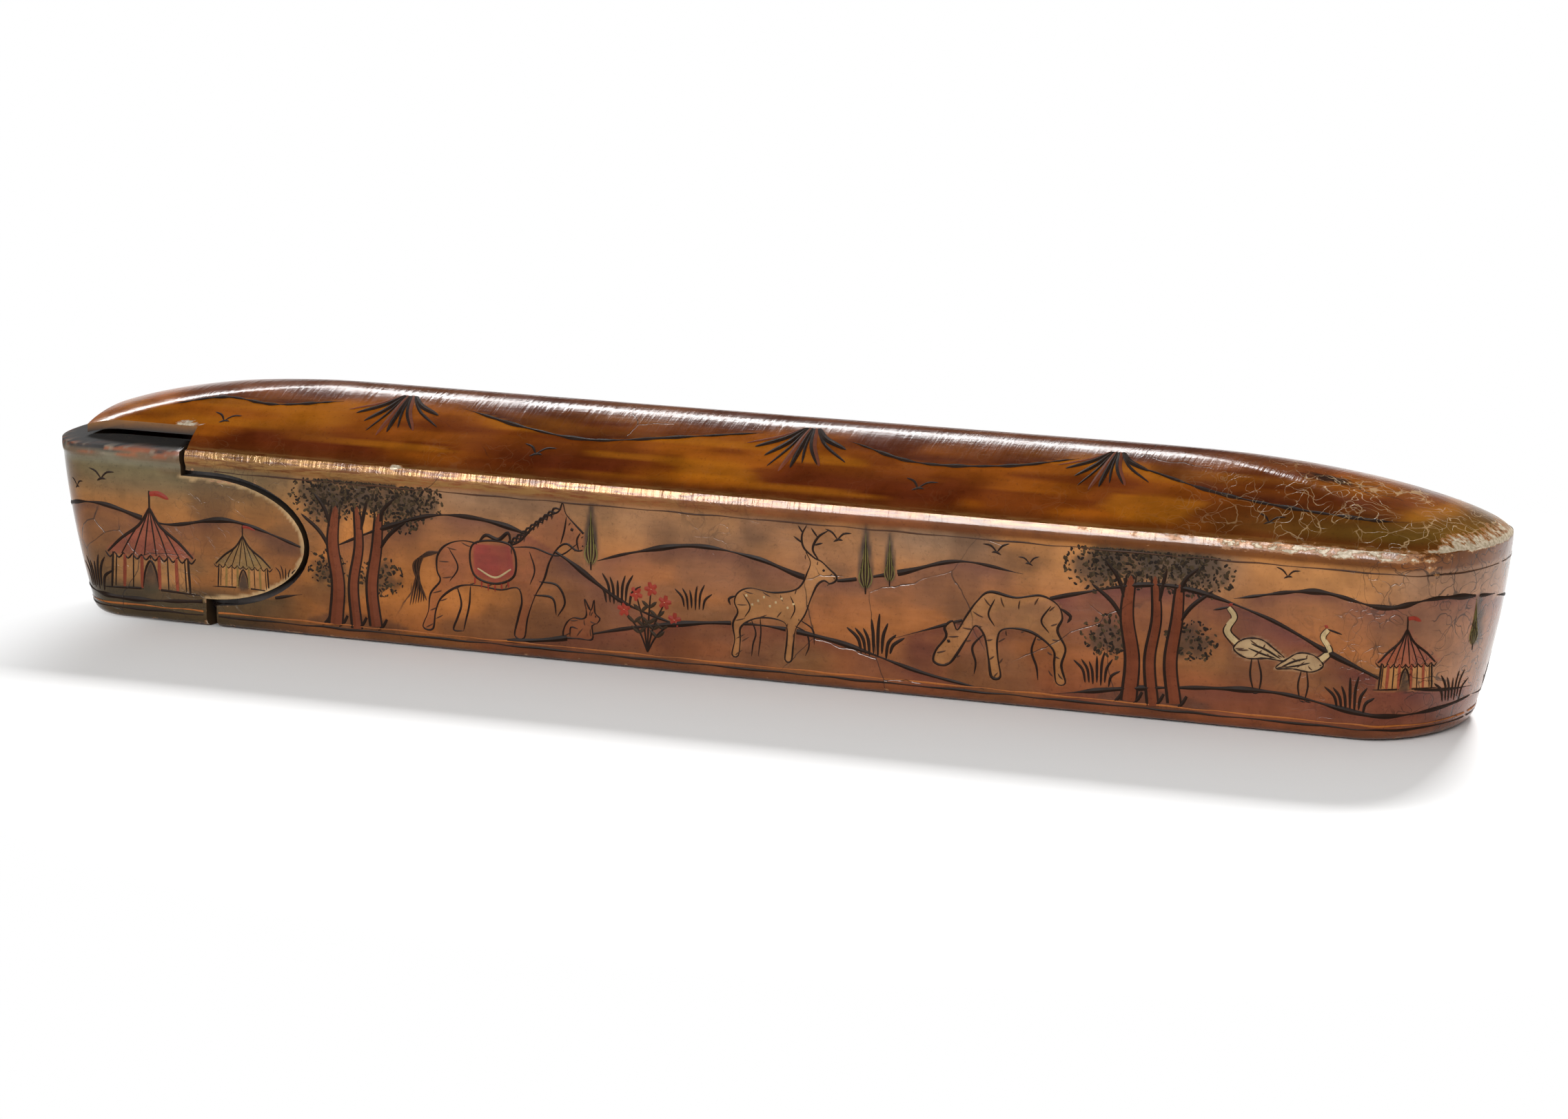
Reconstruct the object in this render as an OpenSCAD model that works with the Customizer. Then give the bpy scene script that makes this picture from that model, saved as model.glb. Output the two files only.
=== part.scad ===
// Qalamdan: a lacquered papier-mache pen box with a sliding tray.
// Frame: +X runs to the closed end, -X to the tray's head, -Y is the front side,
// +Z is up, and the origin is the middle of the underside.

/* [Case] */
// Length over the rounded ends, at the shoulder
case_length = 231; // [220:1:260]
// Width at the shoulder
case_width = 33; // [32:0.5:40]
// Height of the shoulder, where the vault springs
shoulder_height = 27; // [26:0.5:32]
// Rise of the vault above the shoulder
vault_rise = 9.7; // [9:0.1:13]
// Length over which the vault falls to each tip
vault_fall = 50; // [35:1:55]
// Shape of that fall, from pointed to full
tip_curve = 1.5; // [1.2:0.1:2]
// Roundness of the vault's crest, from sharp to full
crest_round = 0.5; // [0.35:0.05:0.9]
// How far each rounded end swells past the straight sides
end_bulge = 9.4; // [6:0.1:11]
// How far each end leans in from shoulder to underside
end_lean = 5.5; // [3:0.1:7]
// How much of that lean gathers near the underside, from straight to curved
end_lean_curve = 1.55; // [1:0.05:2]
// How far each side leans in from shoulder to underside
side_lean = 0.6; // [0.2:0.1:1]
// Rounding of the lower edge
edge_round = 1.4; // [0.8:0.1:2]
// Height of the roll moulding along each side's shoulder
roll_height = 2.6; // [1.5:0.1:3.5]
// How far the roll stands proud of the side
roll_proud = 0.4; // [0.2:0.05:0.6]
// Thickness of the case's sides, ends and underside
case_wall = 1.8; // [1.4:0.1:2]
// Thickness of the vault, measured upright
vault_wall = 1.5; // [1.2:0.1:2]

/* [Tray] */
// Running clearance between tray and case
slide_gap = 0.3; // [0.2:0.05:0.4]
// Thickness of the tray's sides and ends
tray_wall = 2.2; // [1.8:0.1:2.4]
// Thickness of the tray's bottom
tray_bottom = 1.8; // [1.4:0.1:2.4]
// How far the tray's rim lies below the shoulder
rim_drop = 1; // [0.8:0.1:1.6]
// Rounding inside the tray, along its bottom
tray_round = 1; // [0.5:0.1:1.5]
// Thickness of the partition between inkwell and pens
partition_wall = 1.6; // [1.2:0.1:2.2]
// Height of the partition above the tray's bottom
partition_height = 15; // [12:0.5:18]

/* [Head and tongues] */
// Distance from the tip to the cut through the shoulder
upper_cut = 26.7; // [24:0.1:30]
// Distance from the tip to the cut through the underside
lower_cut = 30.7; // [28:0.1:34]
// Reach of each tongue past the lower cut
tongue_reach = 17.3; // [12:0.1:22]
// Height of each tongue
tongue_height = 18.6; // [14:0.1:20]
// Height of the tongues' centre line
tongue_level = 13.6; // [12.5:0.1:14.5]
// Width of the open seam between head and case
seam_gap = 0.9; // [0.5:0.05:1.2]
// Gap of the lower cut, which stands further open at the foot
foot_gap = 1.8; // [1:0.1:2.2]
// Width of the ledge that the vault leaves uncovered along each side
ledge_width = 3.8; // [3.2:0.1:4]
// Length of the ledge that the vault leaves uncovered at the tip
ledge_length = 8; // [6.5:0.1:10]
// How far the ledge reaches in under the vault
ledge_lip = 0.6; // [0.4:0.1:1]
// How far the ledge's outer edge lies below the shoulder
ledge_drop = 0.3; // [0.2:0.1:0.6]
// Rise of the ledge's slope, carried on to the crest
ledge_rise = 3.2; // [2:0.1:3.4]

/* [Inkwell] */
// Length of the inkwell
well_length = 32; // [26:1:36]
// Height of the cup without its cover
well_height = 13; // [11:0.5:14]
// Sheet thickness of cup and cover
well_sheet = 0.8; // [0.6:0.1:1]
// Rounding of the inkwell's upright corners
well_round = 2.5; // [1.5:0.1:4]
// Diameter of the mouth
mouth_d = 9.5; // [8:0.5:10]
// Diameter of the lid
lid_d = 13; // [11.5:0.5:13.5]
// Thickness of the lid's disc
lid_sheet = 1; // [0.8:0.1:1.2]
// Width of the flat rim round the lid's dome
lid_rim = 0.8; // [0.5:0.1:1.2]
// Rise of the lid's dome above its disc
lid_dome = 1.6; // [1:0.1:2]
// Gap under the closed lid
lid_gap = 0.15; // [0.1:0.01:0.2]
// Diameter of the hinge pin
pin_d = 1; // [0.8:0.05:1.2]
// Radial clearance of the pin in its knuckles
pin_gap = 0.05; // [0.03:0.01:0.08]
// Wall of the knuckles around the pin
knuckle_wall = 0.6; // [0.5:0.05:0.8]
// Length of each outer knuckle
knuckle_length = 2.6; // [2:0.1:3]
// Length of the lid's own knuckle
lid_knuckle = 3.6; // [3:0.1:5]
// Play between neighbouring knuckles
knuckle_gap = 0.2; // [0.15:0.01:0.3]
// Height of the silk wad in the cup
wad_height = 6.8; // [4:0.2:7.4]

/* [Pens and tools] */
// Diameter of the reed pens
pen_d = 6.6; // [5:0.1:6.8]
// Diameter of the hollow in the reed
reed_bore = 3.2; // [2.4:0.1:3.6]
// Length of the longest pen
pen_length = 154; // [120:1:156]
// How much shorter each next pen is
pen_step = 9; // [0:1:12]
// Length of the slanting cut that shapes a nib
nib_cut = 26; // [18:1:32]
// Width of the broadest nib
nib_width = 3.6; // [3:0.1:4.5]
// How much narrower each next nib is
nib_step = 1; // [0.5:0.1:1.2]
// Thickness left at the nib
nib_thick = 0.9; // [0.7:0.1:1.2]
// Clearance of the loose contents
lay_gap = 0.2; // [0.1:0.05:0.3]
// Length of the penknife's handle
knife_handle = 74; // [60:1:90]
// Diameter of the handle at its butt
knife_d = 6.6; // [5.5:0.1:7]
// Diameter of the handle at the ferrule
knife_neck_d = 5.2; // [4.5:0.1:5.4]
// Length of the ferrule
ferrule_length = 5; // [3:0.5:8]
// Length of the blade
blade_length = 40; // [30:1:48]
// Depth of the blade from back to edge
blade_depth = 7; // [5:0.5:8]
// Thickness of the blade
blade_thick = 1.2; // [0.9:0.1:1.6]
// Length of the nib rest
rest_length = 96; // [70:1:110]
// Width of the nib rest
rest_width = 9; // [7:0.5:9.5]
// Thickness of the nib rest
rest_thick = 2.4; // [1.8:0.1:3]
// Length of the grooved block on the nib rest
rest_block = 22; // [14:1:30]
// Height of the grooved block on the nib rest
rest_block_height = 3.2; // [2.4:0.1:4]
// Length of the ink spoon's stem
spoon_stem = 92; // [60:1:110]
// Diameter of the ink spoon's stem
spoon_stem_d = 1.6; // [1.2:0.1:2]
// Diameter of the ink spoon's bowl
spoon_bowl_d = 9; // [7:0.5:10]
// Sheet thickness of the ink spoon's bowl
spoon_sheet = 0.7; // [0.5:0.1:1]

/* [Hidden] */
$fn = 48;

// Steps round each end, up the lower edge, up a wall, up the roll and up the vault
end_steps = 14;
edge_steps = 3;
wall_steps = 4;
roll_steps = 5;
vault_steps = 14;
// Part of the vault's half width that its flat crest keeps
crest_flat = 0.03;
// Overrun of a cutting solid
cut = 1;

// Form of the case: heights, insets and outlines
function lean(z, amount) = amount * (1 - z / shoulder_height);
function half_length(z, inset) =
    case_length / 2 - end_lean * max(0, 1 - z / shoulder_height) ^ end_lean_curve - inset;
function half_width(z, inset) = case_width / 2 - lean(z, side_lean) - inset;
function arch(u) =
    1 - (sqrt(crest_round ^ 2 + u ^ 2) - crest_round) / (sqrt(crest_round ^ 2 + 1) - crest_round);
function tip_setback(rise_share) = vault_fall * (1 - sqrt(1 - rise_share ^ tip_curve));
function roll_swell(z) =
    let (s = (z - shoulder_height + roll_height) / roll_height)
    s > 0 && s < 1 ? roll_proud * sin(180 * s) : 0;

// One level outline: straight sides and half-elliptical ends
function outline(hl, hw, z) =
    [for (side = [1, -1], i = [0 : end_steps])
        let (a = 180 * i / end_steps - 90)
        [side * (hl - end_bulge + end_bulge * cos(a)), side * hw * sin(a), z]];
function wall_outline(z, inset) = outline(half_length(z, inset), half_width(z, inset), z);

// Outlines of a leaning wall from its rounded lower edge up to a level top
function edge_outlines(floor_z, inset, round_r) =
    [for (i = [0 : edge_steps])
        let (a = 90 * i / edge_steps, z = floor_z + round_r * (1 - cos(a)))
        wall_outline(z, inset + round_r * (1 - sin(a)))];
function wall_outlines(low_z, top_z, inset) =
    [for (i = [1 : wall_steps])
        wall_outline(low_z + (top_z - low_z) * i / wall_steps, inset)];
function roll_outlines(top_z) =
    let (low = shoulder_height - roll_height)
    [for (i = [1 : roll_steps])
        let (z = low + (top_z - low) * i / roll_steps)
        outline(half_length(z, 0), half_width(z, -roll_swell(z)), z)];
function vault_outlines(spring, inset, rise, swell = 0) =
    let (hl = half_length(spring, inset), hw = half_width(spring, inset - swell))
    [for (i = [1 : vault_steps])
        let (u = 1 - (1 - crest_flat) * i / vault_steps, g = arch(u))
        outline(hl - tip_setback(g), hw * u, spring + rise * g)];

// Solid through a stack of outlines that all have the same number of points
module loft(levels) {
    count = len(levels[0]);
    last = (len(levels) - 1) * count;
    polyhedron(
        points = [for (level = levels) each level],
        faces = concat(
            [[for (i = [0 : count - 1]) i]],
            [[for (i = [count - 1 : -1 : 0]) last + i]],
            [for (j = [0 : len(levels) - 2], i = [0 : count - 1])
                let (low = j * count, high = low + count, next = (i + 1) % count)
                each [[low + i, high + i, high + next], [low + i, high + next, low + next]]]));
}

// Levels and places that the pieces share
tray_inset = case_wall + slide_gap;
hold_inset = tray_inset + tray_wall;
tray_z = case_wall + slide_gap;
floor_z = tray_z + tray_bottom;
rim_z = shoulder_height - rim_drop;
tip_x = -case_length / 2;
plate_x = tip_x + ledge_length;
plate_half = case_width / 2 - ledge_width;
ledge_z = shoulder_height - ledge_drop;
hold_half_width = half_width(floor_z, hold_inset + tray_round);
hold_end_x = -half_length(floor_z, hold_inset + tray_round) + end_bulge;

module outer_form() {
    loft(concat(edge_outlines(0, 0, edge_round), wall_outlines(edge_round, shoulder_height - roll_height, 0),
                roll_outlines(shoulder_height), vault_outlines(shoulder_height, 0, vault_rise)));
}

module case_hollow() {
    loft(concat(edge_outlines(case_wall, case_wall, edge_round),
                wall_outlines(case_wall + edge_round, shoulder_height, case_wall),
                vault_outlines(shoulder_height, case_wall, vault_rise - vault_wall)));
}

module tray_form() {
    loft(concat(edge_outlines(tray_z, tray_inset, edge_round), wall_outlines(tray_z + edge_round, rim_z, tray_inset)));
}

module tray_hold(top_z) {
    loft(concat(edge_outlines(floor_z, hold_inset, tray_round), wall_outlines(floor_z + tray_round, top_z, hold_inset)));
}

// Side view of all that belongs to the tray's head, with its two tongues
module head_profile(gap, foot) {
    upper_x = tip_x + upper_cut + gap;
    lower_x = tip_x + lower_cut + gap;
    foot_x = tip_x + lower_cut + foot;
    half = tongue_height / 2 + gap;
    polygon(concat(
        [[tip_x - cut, -cut], [foot_x, -cut]],
        [for (i = [0 : 2 * end_steps])
            let (a = 180 * i / (2 * end_steps) - 90)
            [max(lower_x + tongue_reach * cos(a), a < 0 ? foot_x : lower_x), tongue_level + half * sin(a)]],
        [[upper_x, tongue_level + half],
         [upper_x, shoulder_height + vault_rise + cut],
         [tip_x - cut, shoulder_height + vault_rise + cut]]));
}

module head_zone(gap, foot) {
    rotate([90, 0, 0]) linear_extrude(case_width + 2 * cut, center = true) head_profile(gap, foot);
}

// Upright block over the plan of the vault's free end, from level z up
module plate_zone(x, half, z) {
    translate([x, -half, z]) cube([case_length, 2 * half, shoulder_height + vault_rise + cut - z]);
}

// Case: one vaulted shell, open at the head, whose vault runs on as a plate over the tray
module case_shell() {
    color("#9a6630") difference() {
        outer_form();
        case_hollow();
        difference() {
            head_zone(seam_gap, foot_gap);
            plate_zone(plate_x, plate_half, rim_z);
        }
    }
}

// Tray: the inner trough that slides in the case
module tray_trough() {
    color("#7a2f22") difference() {
        tray_form();
        tray_hold(rim_z + cut);
    }
}

// Head: the end of the outer shell, glued round the trough, with its ledge and tongues
module tray_head() {
    color("#8f5f2e") difference() {
        intersection() {
            loft(concat(edge_outlines(0, 0, edge_round),
                        wall_outlines(edge_round, shoulder_height - roll_height, 0), roll_outlines(ledge_z),
                        vault_outlines(ledge_z, 0, ledge_rise, roll_swell(ledge_z))));
            head_zone(0, 0);
        }
        tray_form();
        plate_zone(plate_x + ledge_lip, plate_half - ledge_lip, rim_z);
    }
}

well_x = hold_end_x + lay_gap;
well_end_x = well_x + well_length;
partition_x = well_end_x + lay_gap;

module tray_partition() {
    color("#5f2a1e") intersection() {
        tray_hold(floor_z + partition_height);
        translate([partition_x, -case_width / 2, 0])
            cube([partition_wall, case_width, shoulder_height]);
    }
}

// Inkwell: a sheet-brass cup, its cover with the mouth, and a domed lid on a pin
well_half = hold_half_width - lay_gap;
cover_z = floor_z + well_height;
cover_top = cover_z + well_sheet;
knuckle_d = pin_d + 2 * pin_gap + 2 * knuckle_wall;
hinge_z = cover_top + lid_gap + knuckle_d / 2;
hinge_reach = lid_d / 2 + knuckle_d / 2 + knuckle_gap;
mouth_x = well_x + well_length / 2 - knuckle_d;
hinge_x = mouth_x + hinge_reach;
pin_length = lid_knuckle + 2 * knuckle_gap + 2 * knuckle_length;

module rounded_plan(length, half, r) {
    translate([r, -half]) square([length - 2 * r, 2 * half]);
    translate([0, r - half]) square([length, 2 * half - 2 * r]);
    for (x = [r, length - r], y = [r - half, half - r])
        translate([x, y]) circle(r);
}

module inkwell_cup() {
    color("#b08d4a") difference() {
        translate([well_x, 0, floor_z]) linear_extrude(well_height)
            rounded_plan(well_length, well_half, well_round);
        translate([well_x + well_sheet, 0, floor_z + well_sheet]) linear_extrude(well_height)
            rounded_plan(well_length - 2 * well_sheet, well_half - well_sheet, well_round - well_sheet);
    }
}

module knuckle(y, length, d) {
    translate([hinge_x, y, hinge_z]) rotate([-90, 0, 0]) cylinder(h = length, d = d);
}

module inkwell_cover() {
    color("#b89550") difference() {
        union() {
            translate([well_x, 0, cover_z]) linear_extrude(well_sheet)
                rounded_plan(well_length, well_half, well_round);
            for (y = [lid_knuckle / 2 + knuckle_gap, -pin_length / 2]) {
                knuckle(y, knuckle_length, knuckle_d);
                translate([hinge_x, y, cover_z])
                    cube([knuckle_d / 2, knuckle_length, hinge_z - cover_z]);
            }
        }
        translate([mouth_x, 0, cover_z - cut]) cylinder(h = well_sheet + 2 * cut, d = mouth_d);
        knuckle(-pin_length / 2 - cut, pin_length + 2 * cut, pin_d + 2 * pin_gap);
    }
}

// Dome of the lid, as the part of a ball that stands out of the disc inside its rim
module lid_dome_form(disc_z) {
    foot_r = lid_d / 2 - lid_rim;
    dome_r = (foot_r ^ 2 + lid_dome ^ 2) / (2 * lid_dome);
    intersection() {
        translate([mouth_x, 0, disc_z + lid_sheet + lid_dome - dome_r]) sphere(dome_r);
        translate([mouth_x, 0, disc_z + lid_sheet / 2]) cylinder(h = lid_sheet + lid_dome, d = lid_d);
    }
}

module inkwell_lid() {
    disc_z = cover_top + lid_gap;
    color("#c29f58") difference() {
        union() {
            translate([mouth_x, 0, disc_z]) cylinder(h = lid_sheet, d = lid_d);
            lid_dome_form(disc_z);
            translate([mouth_x, 0, disc_z + lid_sheet + lid_dome]) sphere(lid_sheet);
            translate([mouth_x, -lid_knuckle / 2, disc_z]) cube([hinge_reach, lid_knuckle, lid_sheet]);
            knuckle(-lid_knuckle / 2, lid_knuckle, knuckle_d);
        }
        knuckle(-lid_knuckle / 2 - cut, lid_knuckle + 2 * cut, pin_d + 2 * pin_gap);
    }
}

module inkwell_pin() {
    color("#8c7038") knuckle(-pin_length / 2, pin_length, pin_d);
}

module silk_wad() {
    skin = well_sheet + lay_gap;
    color("#2b2623") translate([well_x + skin, 0, floor_z + skin]) linear_extrude(wad_height)
        rounded_plan(well_length - 2 * skin, well_half - skin, well_round - well_sheet);
}

// Reed pens: hollow stems side by side on the tray's bottom, nibs towards the closed end
pens_x = partition_x + partition_wall + cut;
pen_z = floor_z + lay_gap + pen_d / 2;
pen_pitch = pen_d + 2 * lay_gap;

module reed_pen(rank) {
    length = pen_length - rank * pen_step;
    nib = nib_width - rank * nib_step;
    scoop_r = (nib_cut ^ 2 + (pen_d - nib_thick) ^ 2) / (2 * (pen_d - nib_thick));
    color("#b98a4e") translate([pens_x, (rank - 1) * pen_pitch, pen_z]) difference() {
        rotate([0, 90, 0]) cylinder(h = length, d = pen_d);
        translate([-cut, 0, 0]) rotate([0, 90, 0]) cylinder(h = length - nib_cut / 2, d = reed_bore);
        // The hollow scoop that thins the stem down to the nib
        translate([length, 0, nib_thick - pen_d / 2 + scoop_r]) rotate([90, 0, 0])
            cylinder(h = pen_d + 2 * cut, r = scoop_r, center = true, $fn = 96);
        // Shoulders that bring the nib to its writing width
        for (side = [0, 1]) mirror([0, side, 0])
            translate([length - nib_cut / 4, nib / 2, -pen_d]) cube([nib_cut, pen_d, 2 * pen_d]);
    }
}

module reed_pen_broad() { reed_pen(0); }
module reed_pen_medium() { reed_pen(1); }
module reed_pen_fine() { reed_pen(2); }

// Tools that lie on the pens: knife at the back, nib rest at the front, spoon between
lay_z = pen_z + pen_d / 2 + lay_gap;
lay_half = half_width(lay_z, hold_inset) - lay_gap;
tools_x = pens_x + nib_cut / 4;
knife_y = lay_half - knife_d / 2;
knife_z = lay_z + knife_d / 2;
ferrule_x = tools_x + knife_handle;
blade_x = ferrule_x + ferrule_length;

module penknife_handle() {
    color("#d9c9a4") translate([tools_x, knife_y, knife_z]) rotate([0, 90, 0])
        cylinder(h = knife_handle, d1 = knife_d, d2 = knife_neck_d);
}

module penknife_ferrule() {
    color("#b08d4a") translate([ferrule_x, knife_y, knife_z]) rotate([0, 90, 0])
        cylinder(h = ferrule_length, d = knife_neck_d);
}

// Blade lying flat: straight back towards the wall, edge curving up to the point
module penknife_blade() {
    back = knife_neck_d / 2;
    color("#9aa0a4") translate([blade_x, knife_y, knife_z - blade_thick / 2]) linear_extrude(blade_thick)
        polygon(concat([[0, back], [0, -back]],
            [for (i = [1 : end_steps])
                let (s = i / end_steps)
                [blade_length * s, back - blade_depth * sqrt(1 - s ^ 3) * (1 - 0.25 * (1 - s))]]));
}

// Nib rest: a bone slip with a grooved block that holds the pen while the nib is cut
module nib_rest() {
    rest_half = rest_width / 2;
    block_x = tools_x + rest_length - 2 * rest_block;
    color("#e2d6b8") translate([0, rest_half - lay_half, lay_z]) difference() {
        union() {
            translate([tools_x, 0, 0]) linear_extrude(rest_thick)
                rounded_plan(rest_length, rest_half, rest_half / 2);
            translate([block_x, -rest_half, 0])
                cube([rest_block, rest_width, rest_thick + rest_block_height]);
        }
        translate([block_x - cut, 0, rest_thick + rest_block_height + pen_d / 4]) rotate([0, 90, 0])
            cylinder(h = rest_block + 2 * cut, d = pen_d);
    }
}

// Ink spoon: a small beaten bowl on a thin stem that ends in a ball
spoon_y = (rest_width - knife_d) / 2;
spoon_depth = spoon_bowl_d / 3;
spoon_bowl_x = tools_x + max(rest_length, knife_handle + ferrule_length + blade_length)
    + spoon_bowl_d / 2 + cut;

// Bowl beaten from sheet: flared outside, hollowed by a ball inside
module spoon_bowl() {
    hollow_half = spoon_bowl_d / 2 - spoon_sheet;
    hollow_depth = spoon_depth - spoon_sheet;
    hollow_r = (hollow_half ^ 2 + hollow_depth ^ 2) / (2 * hollow_depth);
    difference() {
        cylinder(h = spoon_depth, d1 = spoon_bowl_d / 2, d2 = spoon_bowl_d);
        translate([0, 0, spoon_sheet + hollow_r]) sphere(hollow_r);
    }
}

module ink_spoon() {
    stem_z = lay_z + spoon_depth - spoon_stem_d / 2 - spoon_sheet / 4;
    stem_end_x = spoon_bowl_x - spoon_bowl_d / 2 + spoon_sheet;
    color("#b08d4a") {
        translate([spoon_bowl_x, spoon_y, lay_z]) spoon_bowl();
        translate([stem_end_x - spoon_stem, spoon_y, stem_z])
            rotate([0, 90, 0]) cylinder(h = spoon_stem, d = spoon_stem_d);
        translate([stem_end_x - spoon_stem, spoon_y, stem_z]) rotate([0, 0, 90]) sphere(stem_z - lay_z);
    }
}

case_shell();
tray_trough();
tray_head();
tray_partition();
inkwell_cup();
inkwell_cover();
inkwell_lid();
inkwell_pin();
silk_wad();
reed_pen_broad();
reed_pen_medium();
reed_pen_fine();
penknife_handle();
penknife_ferrule();
penknife_blade();
nib_rest();
ink_spoon();
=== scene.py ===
import math

import bpy
import numpy as np
from mathutils import Matrix, Vector


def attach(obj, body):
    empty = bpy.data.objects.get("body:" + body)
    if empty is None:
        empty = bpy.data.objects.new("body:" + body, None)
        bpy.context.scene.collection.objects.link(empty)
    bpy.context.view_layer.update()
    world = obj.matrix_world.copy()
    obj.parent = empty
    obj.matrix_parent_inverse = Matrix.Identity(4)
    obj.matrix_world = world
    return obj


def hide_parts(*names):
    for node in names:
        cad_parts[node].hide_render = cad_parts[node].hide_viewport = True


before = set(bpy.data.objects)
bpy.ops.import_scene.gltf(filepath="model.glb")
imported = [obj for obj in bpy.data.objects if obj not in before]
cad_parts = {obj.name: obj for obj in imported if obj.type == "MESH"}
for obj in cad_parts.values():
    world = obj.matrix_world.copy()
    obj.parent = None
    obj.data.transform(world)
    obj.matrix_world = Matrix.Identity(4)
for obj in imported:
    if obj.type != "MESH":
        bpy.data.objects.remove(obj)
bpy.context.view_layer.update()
MM = 0.001

# Camera: a long lens, a little above the box and round towards its closed end.
# The place was found by fitting the box's own edges to the photograph.
view_azimuth = math.radians(26.06)
view_elevation = math.radians(10.0)
view_roll = math.radians(0.31)
view_distance = 911.3 * MM
view_target = Vector((4.5 * MM, 0.0, 15.2 * MM))
focal_px = 9012
photo_width_px = 2275


def add_object(name, data):
    """A new object in the scene, at its origin."""
    made = bpy.data.objects.new(name, data)
    bpy.context.scene.collection.objects.link(made)
    return made


camera_data = bpy.data.cameras.new("photo_camera")
camera_data.sensor_width = 36.0
camera_data.lens = camera_data.sensor_width * focal_px / photo_width_px
camera = add_object("photo_camera", camera_data)
view_back = Vector((
    math.sin(view_azimuth) * math.cos(view_elevation),
    -math.cos(view_azimuth) * math.cos(view_elevation),
    math.sin(view_elevation),
))
view_right = Vector((math.cos(view_azimuth), math.sin(view_azimuth), 0.0))
view_up = view_back.cross(view_right)
rolled_right = view_right * math.cos(view_roll) + view_up * math.sin(view_roll)
rolled_up = view_up * math.cos(view_roll) - view_right * math.sin(view_roll)
camera_turn = Matrix((rolled_right, rolled_up, view_back)).transposed().to_4x4()
camera.matrix_world = Matrix.Translation(view_target + view_back * view_distance) @ camera_turn
bpy.context.scene.camera = camera

# Studio: a pale sweep under the box, a white backdrop and a dim ceiling. A low light from behind throws the
# shadow forwards and a wide one fills the front. Two strips draw the highlights on the crest and the roll.
backdrop_low = 0.02
backdrop_high = 0.30
ceiling_light = 0.06
room_strength = 0.42
room_white = (1.0, 0.985, 0.965, 1.0)
floor_reach = 4000
floor_middle = (60 * MM, 0, 0)
floor_grey = (0.93, 0.93, 0.93, 1.0)
fade_from = 150 * MM
fade_to = 178 * MM
bpy.context.scene.view_settings.view_transform = "Standard"


class Nodes:
    """Writes nodes into the tree of a world or a material, and wires each as it is made."""

    def __init__(self, owner):
        owner.use_nodes = True
        self.tree = owner.node_tree
        self.tree.nodes.clear()

    def put(self, kind, inputs=None, **options):
        """Adds a node, sets its options, sets or links its inputs, and gives its outputs."""
        made = self.tree.nodes.new(kind)
        for name, value in options.items():
            setattr(made, name, value)
        for name, value in (inputs or {}).items():
            if isinstance(value, bpy.types.NodeSocket):
                self.tree.links.new(value, made.inputs[name])
            else:
                made.inputs[name].default_value = value
        return made.outputs

    def maths(self, operation, first, second):
        return self.put("ShaderNodeMath", {0: first, 1: second}, operation=operation)[0]

    def vectors(self, operation, inputs):
        return self.put("ShaderNodeVectorMath", inputs, operation=operation)

    def ramp(self, value, start, end, low=0.0, high=1.0):
        """Maps a value smoothly from one range to another."""
        ends = {"From Min": start, "From Max": end, "To Min": low, "To Max": high}
        return self.put("ShaderNodeMapRange", {"Value": value, **ends}, interpolation_type="SMOOTHSTEP")[0]


world = bpy.data.worlds.new("white_room")
bpy.context.scene.world = world
room = Nodes(world)
room_way = room.put("ShaderNodeTexCoord")["Generated"]
room_height = room.put("ShaderNodeSeparateXYZ", {"Vector": room_way})["Z"]
backdrop = room.ramp(room_height, backdrop_low, backdrop_high, 1.0, ceiling_light)
lit_room = room.put("ShaderNodeBackground", {"Color": room_white, "Strength": room_strength})
seen_room = room.put("ShaderNodeBackground", {"Color": (1.0, 1.0, 1.0, 1.0), "Strength": backdrop})
ray_kind = room.put("ShaderNodeLightPath")
mirrored = room.maths("MAXIMUM", ray_kind["Is Glossy Ray"], ray_kind["Is Transmission Ray"])
in_view = room.maths("MAXIMUM", ray_kind["Is Camera Ray"], mirrored)
room_mix = room.put("ShaderNodeMixShader", {0: in_view, 1: lit_room[0], 2: seen_room[0]})
room.put("ShaderNodeOutputWorld", {"Surface": room_mix[0]})


def soft_light(name, place_mm, width_mm, height_mm, watts, in_gloss=True, on_paint=True):
    """A softbox along the box that faces it, and can be left out of the gloss or off the paint."""
    lamp = bpy.data.lights.new(name, "AREA")
    lamp.shape = "RECTANGLE"
    lamp.size = width_mm * MM
    lamp.size_y = height_mm * MM
    lamp.energy = watts
    softbox = add_object(name, lamp)
    place = Vector(place_mm) * MM
    along = Vector((1, 0, 0))
    away = (place - along * place.x).normalized()
    facing = Matrix((along, away.cross(along), away)).transposed().to_4x4()
    softbox.matrix_world = Matrix.Translation(place) @ facing
    softbox.visible_glossy = in_gloss
    softbox.visible_diffuse = on_paint


soft_light("back_softbox", (-60, 900, 590), 260, 140, 17.5, in_gloss=False)
soft_light("crest_strip", (-540, 515, 630), 700, 110, 5.6, on_paint=False)
soft_light("roll_strip", (-300, -740, 300), 270, 560, 17.5, on_paint=False)
soft_light("front_softbox", (330, -760, 400), 900, 420, 4.8)


def new_piece(name, points, edges, faces):
    """A new object with a mesh through points that are given in millimetres."""
    mesh = bpy.data.meshes.new(name)
    mesh.from_pydata((np.asarray(points) * MM).tolist(), edges, faces)
    return add_object(name, mesh)


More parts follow.
